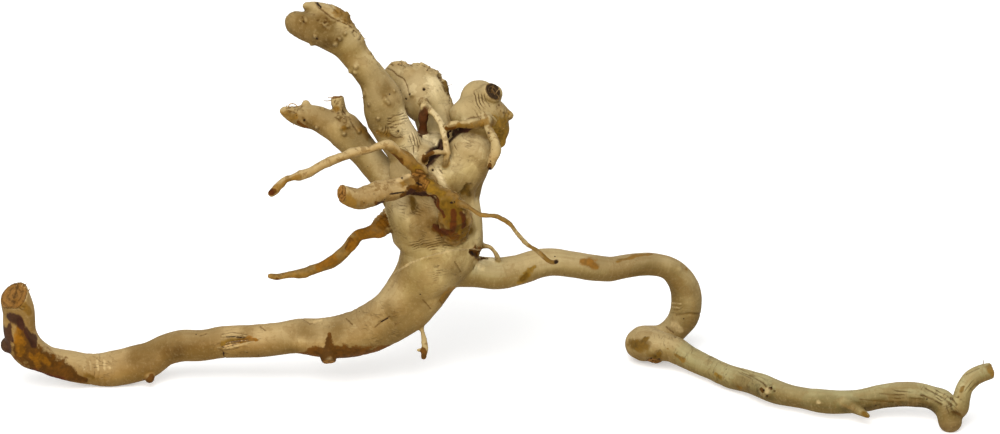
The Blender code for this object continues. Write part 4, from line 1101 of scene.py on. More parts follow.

# %% [markdown]
# ## Where the colours go
# The wood is pale tan where it is clean. Scraps of inner bark are left on it in brown and ochre, sap has
# dried purple in the clefts, and scratches show paler wood. A few brown, red and purple strokes on wood
# that faces the viewer are painted shadow, under the knot and under the bulge of the arch twig. Each
# colour has its own strokes, as deep as the marks above, and is kept on the skin as one number per point:
# above 0 inside, below 0 outside.
# The material will ruffle that edge with finer noise than the points could hold.

# %% Where the colours go
# Each stain's strokes, by the wood that they lie on.
STAINS = {
    "ochre": {
        "front": [[(86, 377, 4), (92, 380, 3)], [(52, 359, 4), (58, 364, 3)], [(478, 255, 7)],
            [(616, 261, 1.4), (626, 259, 1.8), (636, 256, 1.4), (652, 254, 1)], [(684, 270, 1.6)],
            [(738, 386, 2), (741, 389, 1.6)], [(667, 350, 1)], [(675, 355, 1.2), (684, 360, 2.2)],
            [(962, 393, 1.6), (964, 386, 1.3)], [(990, 368, 4), (993, 372, 4)],
            [(286, 113, 4), (296, 118, 3)], [(387, 133, 3), (380, 131, 3)], [(16, 300, 3), (30, 312, 3)],
            [(444, 300, 5), (452, 292, 4)], [(340, 12, 6), (352, 22, 5)], [(362, 124, 5), (368, 137, 4)],
            [(344, 129, 3)], [(292, 118, 4)], [(336, 108, 3)]],
        "arch twig, knot": [[(420, 181, 12)], [(428, 184, 8), (440, 190, 9), (452, 197, 9)],
            [(446, 206, 14), (456, 226, 16)]],
        "lower twig": [[(362, 234, 10), (344, 252, 11), (330, 263, 11), (312, 270, 10), (272, 276, 9)]],
        "thick twig": [[(404, 184, 5), (418, 182, 8)], [(340, 195, 7), (350, 204, 5)]],
        "long twig": [[(391, 152, 5), (403, 158, 6), (418, 171, 8)], [(300, 176, 3), (272, 192, 4)]],
        "lying twig, hanging twig": [[(458, 126, 3), (476, 123, 3.5), (486, 122, 3)], [(490, 125, 3)]],
        "trailing twig": [[(454, 202, 6), (463, 205, 6), (480, 212, 4), (520, 226, 4), (552, 262, 4)]],
    },
    "gold": {
        "front": [[(501, 126, 12), (503, 138, 12)], [(502, 131, 12)], [(716, 374, 2.5), (719, 379, 3)],
            [(535, 268, 2), (529, 273, 3.5), (523, 279, 4), (517, 282, 2)],
            [(222, 344, 2.4), (232, 341.5, 3.4), (244, 341, 2.8)]],
        "arch twig, knot": [[(426, 178, 4), (430, 187, 6), (440, 194, 5)], [(446, 204, 8), (454, 214, 9)]],
        "long twig": [[(416, 168, 3), (422, 174, 5)]],
    },
    "olive": {
        "arch twig, knot": [[(447, 206, 6), (453, 213, 11), (456, 226, 11)]],
        "right thorn": [[(862, 413, 2), (873, 420, 3)]],
        "front": [[(655, 359, 7)], [(463, 192, 2.6), (467, 189, 4), (466, 184, 2.6)],
            [(467, 189, 3.6), (471, 193, 2.6)], [(411, 198, 3.4), (413, 204, 4.2), (412, 209, 2.6)],
            [(527, 275, 2.2), (521, 280, 2.6)], [(634, 344, 6), (642, 344, 7), (645, 338, 3)],
            [(462, 233, 3), (469, 230, 3)], [(446, 84, 3), (448, 94, 3)]],
    },
    "brown": {
        "front": [[(294, 357, 3), (312, 357, 7), (323, 356, 10), (336, 358, 13), (352, 358, 12),
            (368, 356, 9), (382, 352, 6), (394, 347, 3)], [(330, 351, 9), (330, 343, 5), (330.5, 334, 2.2)],
            [(22, 350, 10), (40, 362, 15), (55, 369, 13), (68, 374, 9), (77, 379, 4.5), (84, 382, 2)],
            [(20, 322, 4), (22, 334, 5), (28, 348, 7)], [(763, 390, 2.4)], [(771, 388, 1.8)],
            [(474, 252, 5), (484, 256, 5)], [(300, 124, 2.2), (307, 127, 2.4)]],
        # The first two strokes on the wood that faces the viewer are painted shadow, under the knot and
        # under the bulge of the arch twig.
        "facing": [[(410, 190, 4), (420, 190, 5)], [(436, 229, 3), (444, 234, 3.4), (456, 236, 3)],
            [(150, 380, 6)]],
        "lower twig": [[(388, 222, 8), (383, 226, 6)], [(352, 240, 3), (348, 247, 3)], [(276, 279, 2.5)]],
        "thick twig": [[(378, 205, 3), (388, 203, 2)], [(402, 197, 3), (412, 193, 5)]],
        "long twig": [[(393, 156, 3), (401, 163, 3)], [(271, 193, 3), (276, 191, 2)]],
        "twig below, thorn below": [[(424, 352, 4), (423, 358, 4)]],
        "hook twig": [[(430, 155, 3), (424, 161, 3)]],
        "hanging twig": [[(492, 164, 2.5), (490, 168, 3)]],
        "lying twig": [[(448, 128, 2), (454, 127, 1.6)]],
    },
    "orange": {
        "front": [[(584, 260, 3), (590, 262, 5), (597, 266, 4)], [(17, 331, 3), (20, 342, 4), (22, 354, 4)],
            [(30, 356, 3), (38, 366, 3)], [(238, 341.5, 3), (246, 341, 3), (256, 340, 1.5)],
            [(40, 357, 5), (50, 363, 3)]],
        "lower twig": [[(380, 228, 12), (366, 232, 10)], [(357, 239, 4), (350, 248, 4)],
            [(333, 262, 5), (320, 268, 4)]],
    },
    "red": {
        "red stub": [[(424, 113, 6), (423, 124, 8), (422, 138, 9)]],
        "front": [[(421, 134, 2)], [(30, 370, 3), (48, 377, 4), (62, 381, 3)],
            [(460, 130, 3), (468, 127, 2)]],
        "facing": [[(424, 193, 1.6), (432, 195, 1.4), (437, 200, 1.6), (440, 207, 1.6), (442, 216, 1.4)],
            [(453.5, 212, 2.8), (453.5, 222, 3.4), (452, 231, 3.2)],
            [(462, 213, 2), (463.5, 220, 2.4), (462, 227, 2)],
            # Painted shadow under the bulge of the arch twig.
            [(435, 225, 2), (439, 230, 2.6), (446, 233, 3)]],
        "long twig": [[(272, 193, 3)]],
    },
    "purple": {
        "front": [[(424, 169, 3), (428, 162, 6), (434, 155, 5.5), (440, 149, 5), (444, 143, 5),
            (449, 137, 5), (456, 131, 4), (466, 127, 3), (474, 125, 2)],
            [(10, 316, 3.5), (17, 320, 5), (22, 325, 4)], [(27, 331, 3), (31, 340, 5), (33, 346, 3)],
            [(11, 335, 2), (13, 341, 2)], [(9, 325, 2), (8, 332, 2)]],
        "facing": [[(2, 332, 7), (4, 342, 8), (8, 350, 5)],
            # Painted shadow under the knot.
            [(410, 191, 2), (418, 192, 2.6), (424, 192.5, 2.4)]],
        "thick twig": [[(380, 204, 2.5), (384, 202, 2)], [(408, 194, 3)]],
        "long twig": [[(420, 172, 2)]],
    },
    "pale": {
        "front": [[(394, 273, 0.9), (410, 263, 0.9), (428, 256.5, 0.9), (452, 250.5, 0.9), (474, 249, 0.8),
            (487, 252, 0.8)], [(224, 346.5, 1), (238, 345, 1.2), (254, 341.5, 0.8)], [(329, 362, 4.5)],
            [(768, 391, 3.4)], [(819, 402, 2.2)], [(84, 363, 1), (84, 370, 1)],
            [(90, 361, 1), (91, 370, 1.1)], [(97, 360, 1.1), (98, 370, 1.1)],
            [(104, 360, 1.1), (105, 369, 1.2)], [(110, 360, 0.8), (110, 368, 0.8)],
            [(672, 303, 0.9), (681, 304, 0.9)], [(672, 307, 0.9), (680, 308, 0.9)],
            [(314, 322, 1), (322, 320, 0.8)], [(262, 329, 1.2)],
            [(430, 168, 1.6), (437, 163, 2), (445, 158, 1.6)], [(674, 324, 3), (680, 330, 3)],
            [(457, 130, 1)], [(475, 262, 2), (482, 268, 3)]],
        "thick twig": [[(398, 180, 2), (408, 176, 2)]],
    },
    "dark": {
        "front": [[(317, 2, 0.7), (321, 7, 0.8)], [(475, 254, 2)], [(557, 262, 1.2)],
            [(226, 337, 0.4), (234, 336.6, 0.6), (246, 338, 0.4)], [(223, 352, 0.6), (224, 356, 0.6)],
            [(398, 131, 1)], [(424, 89, 1.4)], [(409, 94, 1)], [(405, 99, 1)], [(317, 39, 1)],
            [(381, 322, 0.6), (388, 318, 0.6)], [(304, 121, 1.2)], [(651, 359, 1.1)], [(659, 360, 1.2)],
            [(763, 390, 1.1)], [(771, 387, 0.9)], [(767, 397, 0.9)], [(13, 340, 1.2)], [(433, 170, 1)],
            [(427, 163, 2), (435, 155, 2)], [(447, 140, 2), (452, 134, 1.6)],
            [(459, 232, 1), (464, 229.5, 1.2), (467, 226, 1)]],
        "arch twig, knot": [[(449, 203.5, 0.9), (453, 202, 1.1), (456, 202.5, 0.8)],
            [(417, 183, 1.2), (421, 185, 1.2)]],
        "thick twig": [[(402, 178, 1.2)], [(382, 204, 1.2)], [(390, 194, 0.7), (404, 192, 0.8)]],
        "trailing twig": [[(556, 262, 2)]],
        "hanging twig": [[(490, 169, 1.8)], [(489, 133, 1)]],
    },
}


def area_mask(area):
    """The foremost wood, all wood that faces the viewer, the twigs that do, or the limbs that are named."""
    masks = {"front": in_front, "facing": facing, "twigs": facing * on_twig}
    return masks[area] if area in masks else on_limbs(*area.split(", "))


def stain_field(name, areas):
    """The deepest stroke of a stain over all its areas. Pits and scratches stay where they are drawn; the
    other stains stray."""
    right, down = (seen_right, seen_down) if name in ("dark", "pale") else (strayed_right, strayed_down)
    field = np.full(POINT_COUNT, -1.0)
    for area, strokes in areas.items():
        field = np.maximum(field, marked(strokes, area_mask(area), right, down))
    return field


stains = {name: stain_field(name, areas) for name, areas in STAINS.items()}
end_grain = np.max(list(end_masks.values()), axis=0)
stains["dark"] = np.maximum(stains["dark"], 1.4 * end_masks["front"] - 1.0)
print({name: int((field > 0).sum()) for name, field in stains.items()})

# %% [markdown]
# ## Warm, grey, dark and pale
# Under the stains the clean wood isn't even. The thick root is a warm orange tan, the thin one greyer, and
# whole lobes are a shade darker or paler than their neighbours. These broad differences are strokes too,
# drawn with wide soft edges and added up. Some strokes are painted light in crotches and along edges that
# lie in shade, and painted shade under the arch twig's bulge and along undersides. A nub has a painted
# shadow in a ring round its foot.

# %% Warm, grey, dark and pale
# Painted shadow in a ring round each nub's foot, and a darker tip on each nub.
nub_foot_shadow = np.zeros(POINT_COUNT)
nub_tip = np.zeros(POINT_COUNT)
for top in nub_tops:
    distance = np.linalg.norm(standing - top, axis=1)
    ring = smooth_step(0.0022, 0.0013, distance) * smooth_step(0.0007, 0.0012, distance)
    nub_foot_shadow = np.maximum(nub_foot_shadow, ring)
    nub_tip = np.maximum(nub_tip, smooth_step(0.0009, 0.0004, distance))

# The wood that strokes lie on, how warm it is there (0 is grey tan, 1 is orange tan), and the strokes.
WARM_SPOTS = [
    ("front", 0.75, [[(20, 300, 22), (30, 360, 30), (90, 372, 26), (160, 356, 26), (240, 342, 26),
        (300, 340, 22)]]),
    ("front", 0.45, [[(300, 338, 26), (360, 330, 30), (410, 290, 36)]]),
    ("front", 0, [[(560, 262, 16), (640, 265, 18), (690, 292, 22), (650, 343, 22)]]),
    ("front", -0.7, [[(690, 355, 20), (760, 384, 24), (860, 400, 24), (940, 405, 30), (985, 375, 26)]]),
    ("front", -0.1, [[(490, 270, 24)]]),
    ("front", 0.3, [[(330, 130, 26), (370, 160, 22)], [(310, 30, 24), (350, 50, 20)]]),
    ("twigs", 0.75, [[(260, 200, 40), (350, 160, 40), (420, 190, 60), (480, 200, 60)],
        [(270, 280, 30), (360, 240, 40)]]),
]
warm = np.full(POINT_COUNT, 0.25)
for area, amount, strokes in WARM_SPOTS:
    warm += (amount - warm) * smooth_step(-0.3, 0.6, marked(strokes, area_mask(area)))

# Where the wood is a shade darker and browner (below 0) or paler (above 0) than elsewhere: partly its own
# tone, partly painted light and shade.
TONE_AND_LIGHT_SPOTS = {
    "front": [
        # Among these, the pale strokes in the crotch under the back lobe, round the front lobe's foot and
        # along the trunk's right edge are painted light where the wood lies in shade; the last stroke, along
        # the underside of the right root, is painted shade.
        (-1.05, [[(294, 22, 20), (318, 30, 18), (334, 36, 11)]]),
        (-0.65, [[(372, 90, 20), (392, 115, 20)]]), (-0.9, [[(303, 21, 5)], [(325, 23, 8)]]),
        (0.9, [[(392, 129, 2), (397, 126.5, 2), (402, 129, 2)]]),
        (-1, [[(389, 135, 2.5), (396, 139.5, 2.5), (404, 137, 2.5)]]), (-0.6, [[(384, 88, 7)],
        [(362, 40, 8)], [(305, 24, 8)], [(328, 44, 6)]]), (0.5, [[(368, 60, 7)], [(388, 100, 5)],
        [(402, 116, 7)], [(340, 60, 5)]]), (-0.9, [[(300, 118, 14), (325, 118, 14)],
        [(345, 118, 14), (362, 140, 14)]]), (0.6, [[(334, 128, 6)], [(350, 112, 4)], [(372, 152, 8)]]),
        (-0.6, [[(478, 104, 16)], [(500, 112, 10)]]), (0.6, [[(420, 88, 14)]]),
        (1.5, [[(405, 110, 7), (409, 130, 9), (408, 150, 9)], [(424, 130, 10), (434, 142, 7)]]),
        (0.8, [[(436, 84, 8), (442, 104, 9)], [(424, 112, 8), (446, 122, 8)]]),
        (0.6, [[(390, 68, 7), (402, 90, 7)]]), (0.25, [[(350, 28, 7), (360, 42, 6)]]),
        (1, [[(464, 122, 6), (500, 126, 6)]]), (1.3, [[(446, 178, 6), (438, 170, 5)], [(472, 170, 6)]]),
        (1.5, [[(476, 205, 5), (477, 226, 6), (472, 242, 6)], [(464, 252, 5), (492, 257, 5)]]),
        (0.9, [[(434, 284, 8), (450, 282, 7)]]), (-0.7, [[(394, 305, 9), (420, 305, 8)]]),
        (-0.5, [[(308, 330, 9), (336, 332, 9)], [(66, 372, 8), (110, 369, 9), (150, 364, 8)]]),
        (-0.5, [[(850, 400, 7), (884, 398, 7), (935, 402, 7)]]), (-0.75, [[(130, 350, 12), (150, 340, 14),
        (200, 335, 13), (250, 328, 10)]]), (-0.65, [[(250, 352, 12), (290, 350, 14)], [(300, 338, 16)],
        [(350, 330, 20), (384, 325, 20)]]), (-0.7, [[(146, 358, 14), (170, 352, 12)]]),
        (-0.35, [[(190, 352, 14), (210, 350, 14)]]), (0.5, [[(232, 328, 8)], [(262, 336, 5)],
        [(300, 344, 6)], [(120, 352, 8)]]), (0.9, [[(420, 300, 22), (432, 275, 20)],
        [(430, 262, 22), (464, 262, 14)]]), (1.1, [[(400, 205, 12), (402, 238, 12)]]),
        (-1.1, [[(424, 214, 9), (420, 232, 9)]]), (0.5, [[(466, 152, 16)]]),
        (0.5, [[(430, 262, 8), (446, 256, 6)], [(470, 262, 8)]]), (-0.5, [[(456, 276, 10)],
        [(440, 290, 8)]]), (-0.5, [[(634, 334, 7)]]), (0.6, [[(470, 247, 8)]]), (1, [[(462, 176, 14)]]),
        (0.5, [[(515, 281, 8)], [(968, 388, 8)]]), (0.35, [[(490, 268, 12)], [(972, 382, 12)]]),
        (-0.75, [[(600, 262, 12), (650, 265, 12)], [(690, 290, 8)]]),
        (-0.4, [[(700, 358, 8), (715, 364, 8)]]),
        (-0.85, [[(740, 380, 10), (790, 395, 12), (830, 400, 12)]]),
        (-0.45, [[(860, 400, 12), (920, 396, 12)]]), (0.45, [[(748, 374, 4), (790, 388, 4), (850, 394, 3),
        (900, 384, 4)]]), (-1.5, [[(950, 420, 12)]]), (-0.9, [[(846, 409, 5), (880, 404, 5), (915, 404, 5),
        (936, 408, 5)]])],
    "facing": [
        # Painted shadow under the bulge of the arch twig, and painted shade in the recess beside the knot.
        (-1.5, [[(434, 222, 5), (438, 231, 6), (452, 238, 6), (466, 235, 5), (472, 228, 4)]]),
        (-1.1, [[(411, 201, 6), (413, 209, 7)]]), (-0.4, [[(14, 295, 14)]]), (-1.2, [[(868, 416, 7)]])],
    "pale twig": [
        (0.8, [[(446, 120, 20), (446, 160, 14)]])],
    "thick twig": [
        (-0.6, [[(345, 200, 12), (385, 194, 14)]]), (0.5, [[(400, 178, 6), (410, 176, 5)]]),
        (0.8, [[(341, 193, 9)]])],
}
# Painted shade: a little darker where the skin turns away from the viewer, in a ring round each nub's foot
# and on each nub's tip; the noise is the wood's own tone.
tone_and_painted_light = -0.1 * (1.0 - facing) + 0.15 * rough_noise(points, 0.03, 95) - 0.5 * nub_foot_shadow - 0.35 * nub_tip
for area, spots in TONE_AND_LIGHT_SPOTS.items():
    for amount, strokes in spots:
        drawn = marked(strokes, area_mask(area), strayed_right, strayed_down)
        tone_and_painted_light += amount * smooth_step(-0.7, 0.6, drawn)
warm = np.clip(warm + 0.22 * rough_noise(points, 0.03, 91) + 0.12 * (1.0 - facing), -1.0, 1.0)
print("tone runs from", round(tone_and_painted_light.min(), 2), "to", round(tone_and_painted_light.max(), 2))

# %% [markdown]
# ## Painted light and shade, fibres and fine lines
# The colour is painted paler where the skin looks up and darker where it looks down: painted light on
# the tops and painted shade on the undersides. Fibres show on the roots and twigs; on the swollen lobes
# they run every way and hardly show. Fine lines cross the wood where it is wrinkled, level round the crown
# and square to the roots and twigs, so each point also keeps the place that the lines are drawn out along.

# %% Painted light and shade, fibres and fine lines
# Painted light and shade: the colour is made paler where the skin looks up and darker where it looks down.
top_light_under_shade = smooth_step(-0.75, 0.95, normals[:, 2] + 0.30 * rough_noise(points, 0.012, 93))
SMOOTH_LIMBS = {"tall lobe": 0.25, "side lobe": 0.25, "back lobe": 0.2, "front lobe": 0.2, "trunk": 0.7}
grain_strength = away_from_seam.copy()
for name, share in SMOOTH_LIMBS.items():
    grain_strength[limb_mask(name)] *= share
LINED_SPOTS = [[(385, 200, 16), (392, 235, 16)], [(400, 236, 14), (470, 236, 14)],
    [(412, 150, 18), (440, 165, 16)], [(462, 150, 16)], [(398, 128, 16)], [(481, 104, 14)],
    [(500, 132, 12)], [(930, 395, 14), (955, 405, 12)], [(972, 385, 12)], [(240, 343, 26)],
    [(440, 268, 20)], [(97, 364, 16)], [(415, 212, 16)], [(350, 20, 14)], [(440, 90, 14)],
    [(660, 345, 12), (760, 385, 12)], [(345, 122, 12)], [(380, 325, 24)]]
LEVEL_LINED = ("trunk", "tall lobe", "tall prong", "side lobe", "back lobe", "front lobe", "front plate")
on_crown = limb_mask(*LEVEL_LINED)
lined = 0.22 + 0.78 * smooth_step(-0.4, 0.5, marked(LINED_SPOTS, in_front))
crossing = np.where(on_crown[:, None], points[:, [2, 0, 1]], unbent)
crossing[:, 0] += 0.0022 * noise(points, 0.011, 97) + 0.0009 * noise(points, 0.0042, 98)
print("fine lines cover", round(100 * float((lined > 0.5).mean()), 1), "% of the points")

# %% [markdown]
# ## The finished skin
# A quarter of a million points show every crease, but most of them lie on smooth wood where fewer would
# do. The Decimate modifier collapses the edges that matter least and carries the numbers kept on the
# points along with it.

# %% The finished skin
SKIN_TRIANGLES = 196000


def keep(mesh, name, values):
    """Stores one number per point, or three, under a name that the material can read."""
    kind, field = ("FLOAT", "value") if values.ndim == 1 else ("FLOAT_VECTOR", "vector")
    made = mesh.attributes.new(name, kind, "POINT")
    made.data.foreach_set(field, values.astype(np.float32).ravel())


bpy.data.objects.remove(wood)
wood = mesh_object("driftwood_skin", inside, quads)
on_points = {**stains, "hollow_shade": hollow_shade, "proud_highlight": proud_highlight, "warm": warm, "end_grain": end_grain,
             "crust": crust, "hidden": 1.0 - facing, "grain_strength": grain_strength,
             "slim": 1.0 * on_twig, "top_light_under_shade": top_light_under_shade, "tone_and_painted_light": tone_and_painted_light, "lined": lined, "fold_phase": fold_phase,
             "folds": np.clip(fold_height / DEEPEST_FOLD, 0.0, 1.0), "unbent": unbent, "crossing": crossing}
for name, values in on_points.items():
    keep(wood.data, name, values)
thin = wood.modifiers.new("thin", "DECIMATE")
thin.ratio = SKIN_TRIANGLES / (2 * len(quads))
thin.use_collapse_triangulate = True
skin = evaluated_copy(wood)
wood.modifiers.clear()
wood.data = skin
skin.name = "driftwood_skin"
skin.shade_smooth()
thinned = np.clip(positions(skin), np.append(wood_low[:2], 0.0), wood_high)
skin.vertices.foreach_set("co", thinned.astype(np.float32).ravel())
skin.update()
print("the skin has", len(skin.polygons), "triangles")

# %% [markdown]
# ## Fine fibres
# A few root hairs are still on the heads, and torn fibres stand on the cut ends. Hair curves would be
# quicker, but they are not real mesh, so each fibre is a thin tube like the limbs, only with six
# sides. Some are listed as they were seen, and a seeded scatter puts short ones on the crust.

# %% Fine fibres
FIBRE_SIDES = 6
FIBRE_RINGS = 7
FIBRE_SEED = 19
SHORT_FIBRES = 60
ROOT_DEPTH = 0.0004
# The shortest and the longest of the short fibres, and their half-widths from root to tip, in metres.
SHORT_LENGTHS = (0.0008, 0.0026)
SHORT_WIDTHS = np.array([[0.00014], [0.00011], [0.00005]])
# right, down, millimetres toward the viewer and half-width in millimetres, from root to tip
SEEN_FIBRES = [[(288.5, 110, 16, 0.24), (288.5, 101.5, 17.5, 0.22), (297, 103.5, 18, 0.2),
    (298.5, 109, 16, 0.2)], [(334, 99, 18, 0.22), (328.5, 102, 19, 0.2), (323.5, 100.5, 19, 0.12)],
    [(333.5, 97.5, 18, 0.2), (330, 96, 19, 0.18), (327.5, 97.5, 19, 0.1)], [(396, 63, 12, 0.24),
    (398, 60, 14, 0.22), (405, 61.5, 15, 0.2), (412, 65, 13, 0.2)],
    [(403, 64, 13, 0.2), (401, 60, 15, 0.16), (398, 62, 16, 0.1)],
    [(984, 370, 37, 0.24), (984.5, 361, 38, 0.14)], [(25, 289, 14, 0.3), (26.5, 283, 15, 0.12)],
    [(21, 286, 14, 0.28), (23, 282.5, 15, 0.12)], [(28, 292, 14, 0.3), (30.5, 288, 15, 0.1)],
    [(4, 302, 14, 0.3), (1.8, 306.5, 15, 0.12)], [(15, 284, 14, 0.22), (17, 282, 15, 0.1)],
    [(221, 345, 0, 0.5), (234, 340.5, 1.5, 0.55), (252, 340, 0.5, 0.2)], [(224, 341, 0, 0.4),
    (238, 338, 1.2, 0.45), (256, 339.5, 0.4, 0.15)], [(278, 109, 16, 0.4), (281, 111, 16, 0.5)],
    [(426, 72, 12, 0.18), (430, 66, 14, 0.1)], [(498, 89, 41, 0.2), (501, 86, 42, 0.1)],
    [(872, 419, 36, 0.3), (868, 416, 35, 0.5)]]


def fibre(path, widths):
    """Rings of a thin tube. Its middle line runs from the path's first point to its last and bends toward
    those between: point k of n has the weight (n - 1 choose k) t^k (1 - t)^(n - 1 - k), with t from 0 to 1
    along the fibre. The half-width is blended in the same way."""
    t = np.linspace(0.0, 1.0, FIBRE_RINGS)[:, None]
    degree = len(path) - 1
    shares = [math.comb(degree, k) * t**k * (1 - t) ** (degree - k) for k in range(degree + 1)]
    centres = sum(share * point for share, point in zip(shares, path))
    radii = sum(share * width for share, width in zip(shares, widths))
    _, sides, ups = ring_frames(centres)
    angles = angles_round(FIBRE_SIDES)[None, :, None]
    return centres[:, None, :] + radii[:, :, None] * (np.cos(angles) * sides[:, None, :]
                                                      + np.sin(angles) * ups[:, None, :])


skin_tree = BVHTree.FromObject(wood, bpy.context.evaluated_depsgraph_get())
fibre_rings = []
for stations in SEEN_FIBRES:
    table = np.array(stations)
    path = place(np.column_stack((table[:, :3], np.zeros(len(table)))))[0] + shift
    near, normal, _, _ = skin_tree.find_nearest(Vector(path[0]))
    pull = (np.array(near - normal * ROOT_DEPTH) - path[0]) * np.linspace(1.0, 0.4, len(path))[:, None]
    fibre_rings.append(fibre(path + pull, table[:, 3:4] * MM))

rng = np.random.default_rng(FIBRE_SEED)
crusty = np.flatnonzero((crust > 0.5) & (inside[:, 2] > 0.06))
for at in rng.choice(crusty, SHORT_FIBRES, replace=False):
    length = rng.uniform(*SHORT_LENGTHS)
    lean = unit(normals[at] + rng.normal(0.0, 0.55, 3))
    sag = unit(lean + rng.normal(0.0, 0.5, 3))
    root = inside[at] - normals[at] * ROOT_DEPTH
    bend = root + lean * length * 0.6
    fibre_rings.append(fibre(np.array([root, bend, bend + sag * length * 0.5]), SHORT_WIDTHS))
fibre_points, fibre_quads, fibre_triangles = join(fibre_rings)
fibre_points = np.clip(fibre_points, wood_low, wood_high)
fibres = mesh_object("root_hairs", fibre_points, fibre_quads, fibre_triangles)
fibres.data.shade_smooth()
print(len(fibre_rings), "fibres with", len(fibres.data.polygons), "faces")

# %% [markdown]
# ## Sums on sockets
# Materials are made of nodes, and a sum of three values already needs two Math nodes. The small class
# below wraps a node's output, so that Python's own signs make those nodes: a * 0.5 + b is written as
# it reads. Every other node comes from one method that takes its type, its settings and its values.

# %% Sums on sockets
class Amount:
    """A number that varies over the surface: an output socket that can be added to, multiplied and so on."""

    def __init__(self, finish, socket):
        self.finish = finish
        self.socket = socket

    def __add__(self, other):
        return self.finish.maths("ADD", self, other)

    def __sub__(self, other):
        return self.finish.maths("SUBTRACT", self, other)

    def __rsub__(self, other):
        return self.finish.maths("SUBTRACT", other, self)

    def __mul__(self, other):
        return self.finish.maths("MULTIPLY", self, other)

    __radd__ = __add__
    __rmul__ = __mul__


class Finish:
    """A material whose nodes are added by name."""

    def __init__(self, name):
        self.material = bpy.data.materials.new(name)
        self.material.use_nodes = True
        self.tree = self.material.node_tree
        self.shader = self.tree.nodes["Principled BSDF"]

    def node(self, kind, settings=None, values=None):
        """Adds a node: its settings are set first, then its sockets get values or links."""
        made = self.tree.nodes.new(kind)
        for name, value in (settings or {}).items():
            setattr(made, name, value)
        for name, value in (values or {}).items():
            value = value.socket if isinstance(value, Amount) else value
            if isinstance(value, bpy.types.NodeSocket):
                self.tree.links.new(value, made.inputs[name])
            else:
                made.inputs[name].default_value = value
        return made

    def maths(self, operation, *parts):
        """One Math node on numbers or amounts."""
        made = self.node("ShaderNodeMath", {"operation": operation}, dict(enumerate(parts)))
        return Amount(self, made.outputs[0])

    def own_place(self):
        """Where a point lies on its piece, in metres."""
        return self.node("ShaderNodeTexCoord").outputs["Object"]

    def kept(self, name):
        """A number that was kept on the points."""
        return Amount(self, self.node("ShaderNodeAttribute", {"attribute_name": name}).outputs["Fac"])

    def kept_place(self, name, stretch):
        """Three numbers kept on the points, each divided by its share of the stretch."""
        place_node = self.node("ShaderNodeAttribute", {"attribute_name": name})
        return self.node("ShaderNodeVectorMath", {"operation": "MULTIPLY"},
                         {0: place_node.outputs["Vector"], 1: [1.0 / part for part in stretch]}).outputs[0]

    def grain(self, where, size, detail=2.0, roughness=0.5):
        """A noise, mostly between -1 and 1, with bumps about as wide as the size in metres."""
        made = self.node("ShaderNodeTexNoise", {"noise_dimensions": "3D"},
                         {"Vector": where, "Scale": 1.0 / size, "Detail": detail, "Roughness": roughness})
        return (Amount(self, made.outputs["Fac"]) - 0.5) * 5.0

    def step(self, low_edge, high_edge, amount):
        """0 below the low edge, 1 above the high edge and smooth between, for a number that varies."""
        made = self.node("ShaderNodeMapRange", {"interpolation_type": "SMOOTHSTEP"},
                         {"Value": amount, "From Min": low_edge, "From Max": high_edge})
        return Amount(self, made.outputs["Result"])

    def blend(self, share, first, second, kind="MIX"):
        """One colour turned into another by a share that varies."""
        made = self.node("ShaderNodeMix", {"data_type": "RGBA", "blend_type": kind},
                         {0: share, 6: first, 7: second})
        return made.outputs[2]

    def feed(self, name, source):
        """Links a varying number or colour to an input of the shader."""
        source = source.socket if isinstance(source, Amount) else source
        self.tree.links.new(source, self.shader.inputs[name])

    def emboss(self, height, distance, strength):
        """Tilts the shading as bumps of that height would; the distance is the height of 1 in metres."""
        values = {"Height": height, "Distance": distance, "Strength": strength}
        self.feed("Normal", self.node("ShaderNodeBump", None, values).outputs[0])


def colour(red, green, blue):
    """A colour as a screen shows it, 0 to 255, turned into amounts of light: about (value / 255) ^ 2.2."""
    def light(value):
        """The share of the light that one of the three values stands for."""
        value /= 255
        return value / 12.92 if value <= 0.04045 else ((value + 0.055) / 1.055) ** 2.4
    return (light(red), light(green), light(blue), 1.0)


print("tan wood reflects", np.round(colour(190, 164, 116)[:3], 2))

# %% [markdown]
# ## Weathered wood
# The finish is laid in layers: clean tan wood in several shades, painted paler on top and darker
# underneath, fibres along each limb, painted shade in the hollows, a painted highlight on what stands
# proud, then the stains, whose edges are ruffled by noise. Dark pores dot the twigs. A picture of wood
# would stretch and repeat here; noise worked out in the bent wood's own directions doesn't.

# %% Weathered wood
# Each stain's colour, how much of the wood it hides, how ragged its edge is and how soft.
STAIN_LOOKS = {
    "ochre": ((112, 80, 22), 0.76, 0.80, 0.50), "gold": ((118, 88, 22), 0.84, 0.80, 0.50),
    "olive": ((94, 68, 17), 0.90, 0.60, 0.46), "brown": ((86, 53, 11), 0.95, 0.50, 0.20),
    "orange": ((120, 79, 15), 0.84, 0.60, 0.40), "red": ((75, 37, 12), 0.92, 0.50, 0.36),
    "purple": ((58, 34, 24), 0.92, 0.40, 0.30), "pale": ((206, 182, 134), 0.36, 0.55, 0.50),
    "dark": ((38, 25, 18), 0.95, 0.25, 0.35),
}
LIGHTER = 1.16
# What the wood's colour is multiplied by where it is greyest, where its tone and painted light are lowest
# and where highest.
GREYED = (0.84, 0.95, 0.96, 1.0)
DARKENED = (0.40, 0.33, 0.20, 1.0)
PALED = (1.70, 1.85, 2.20, 1.0)

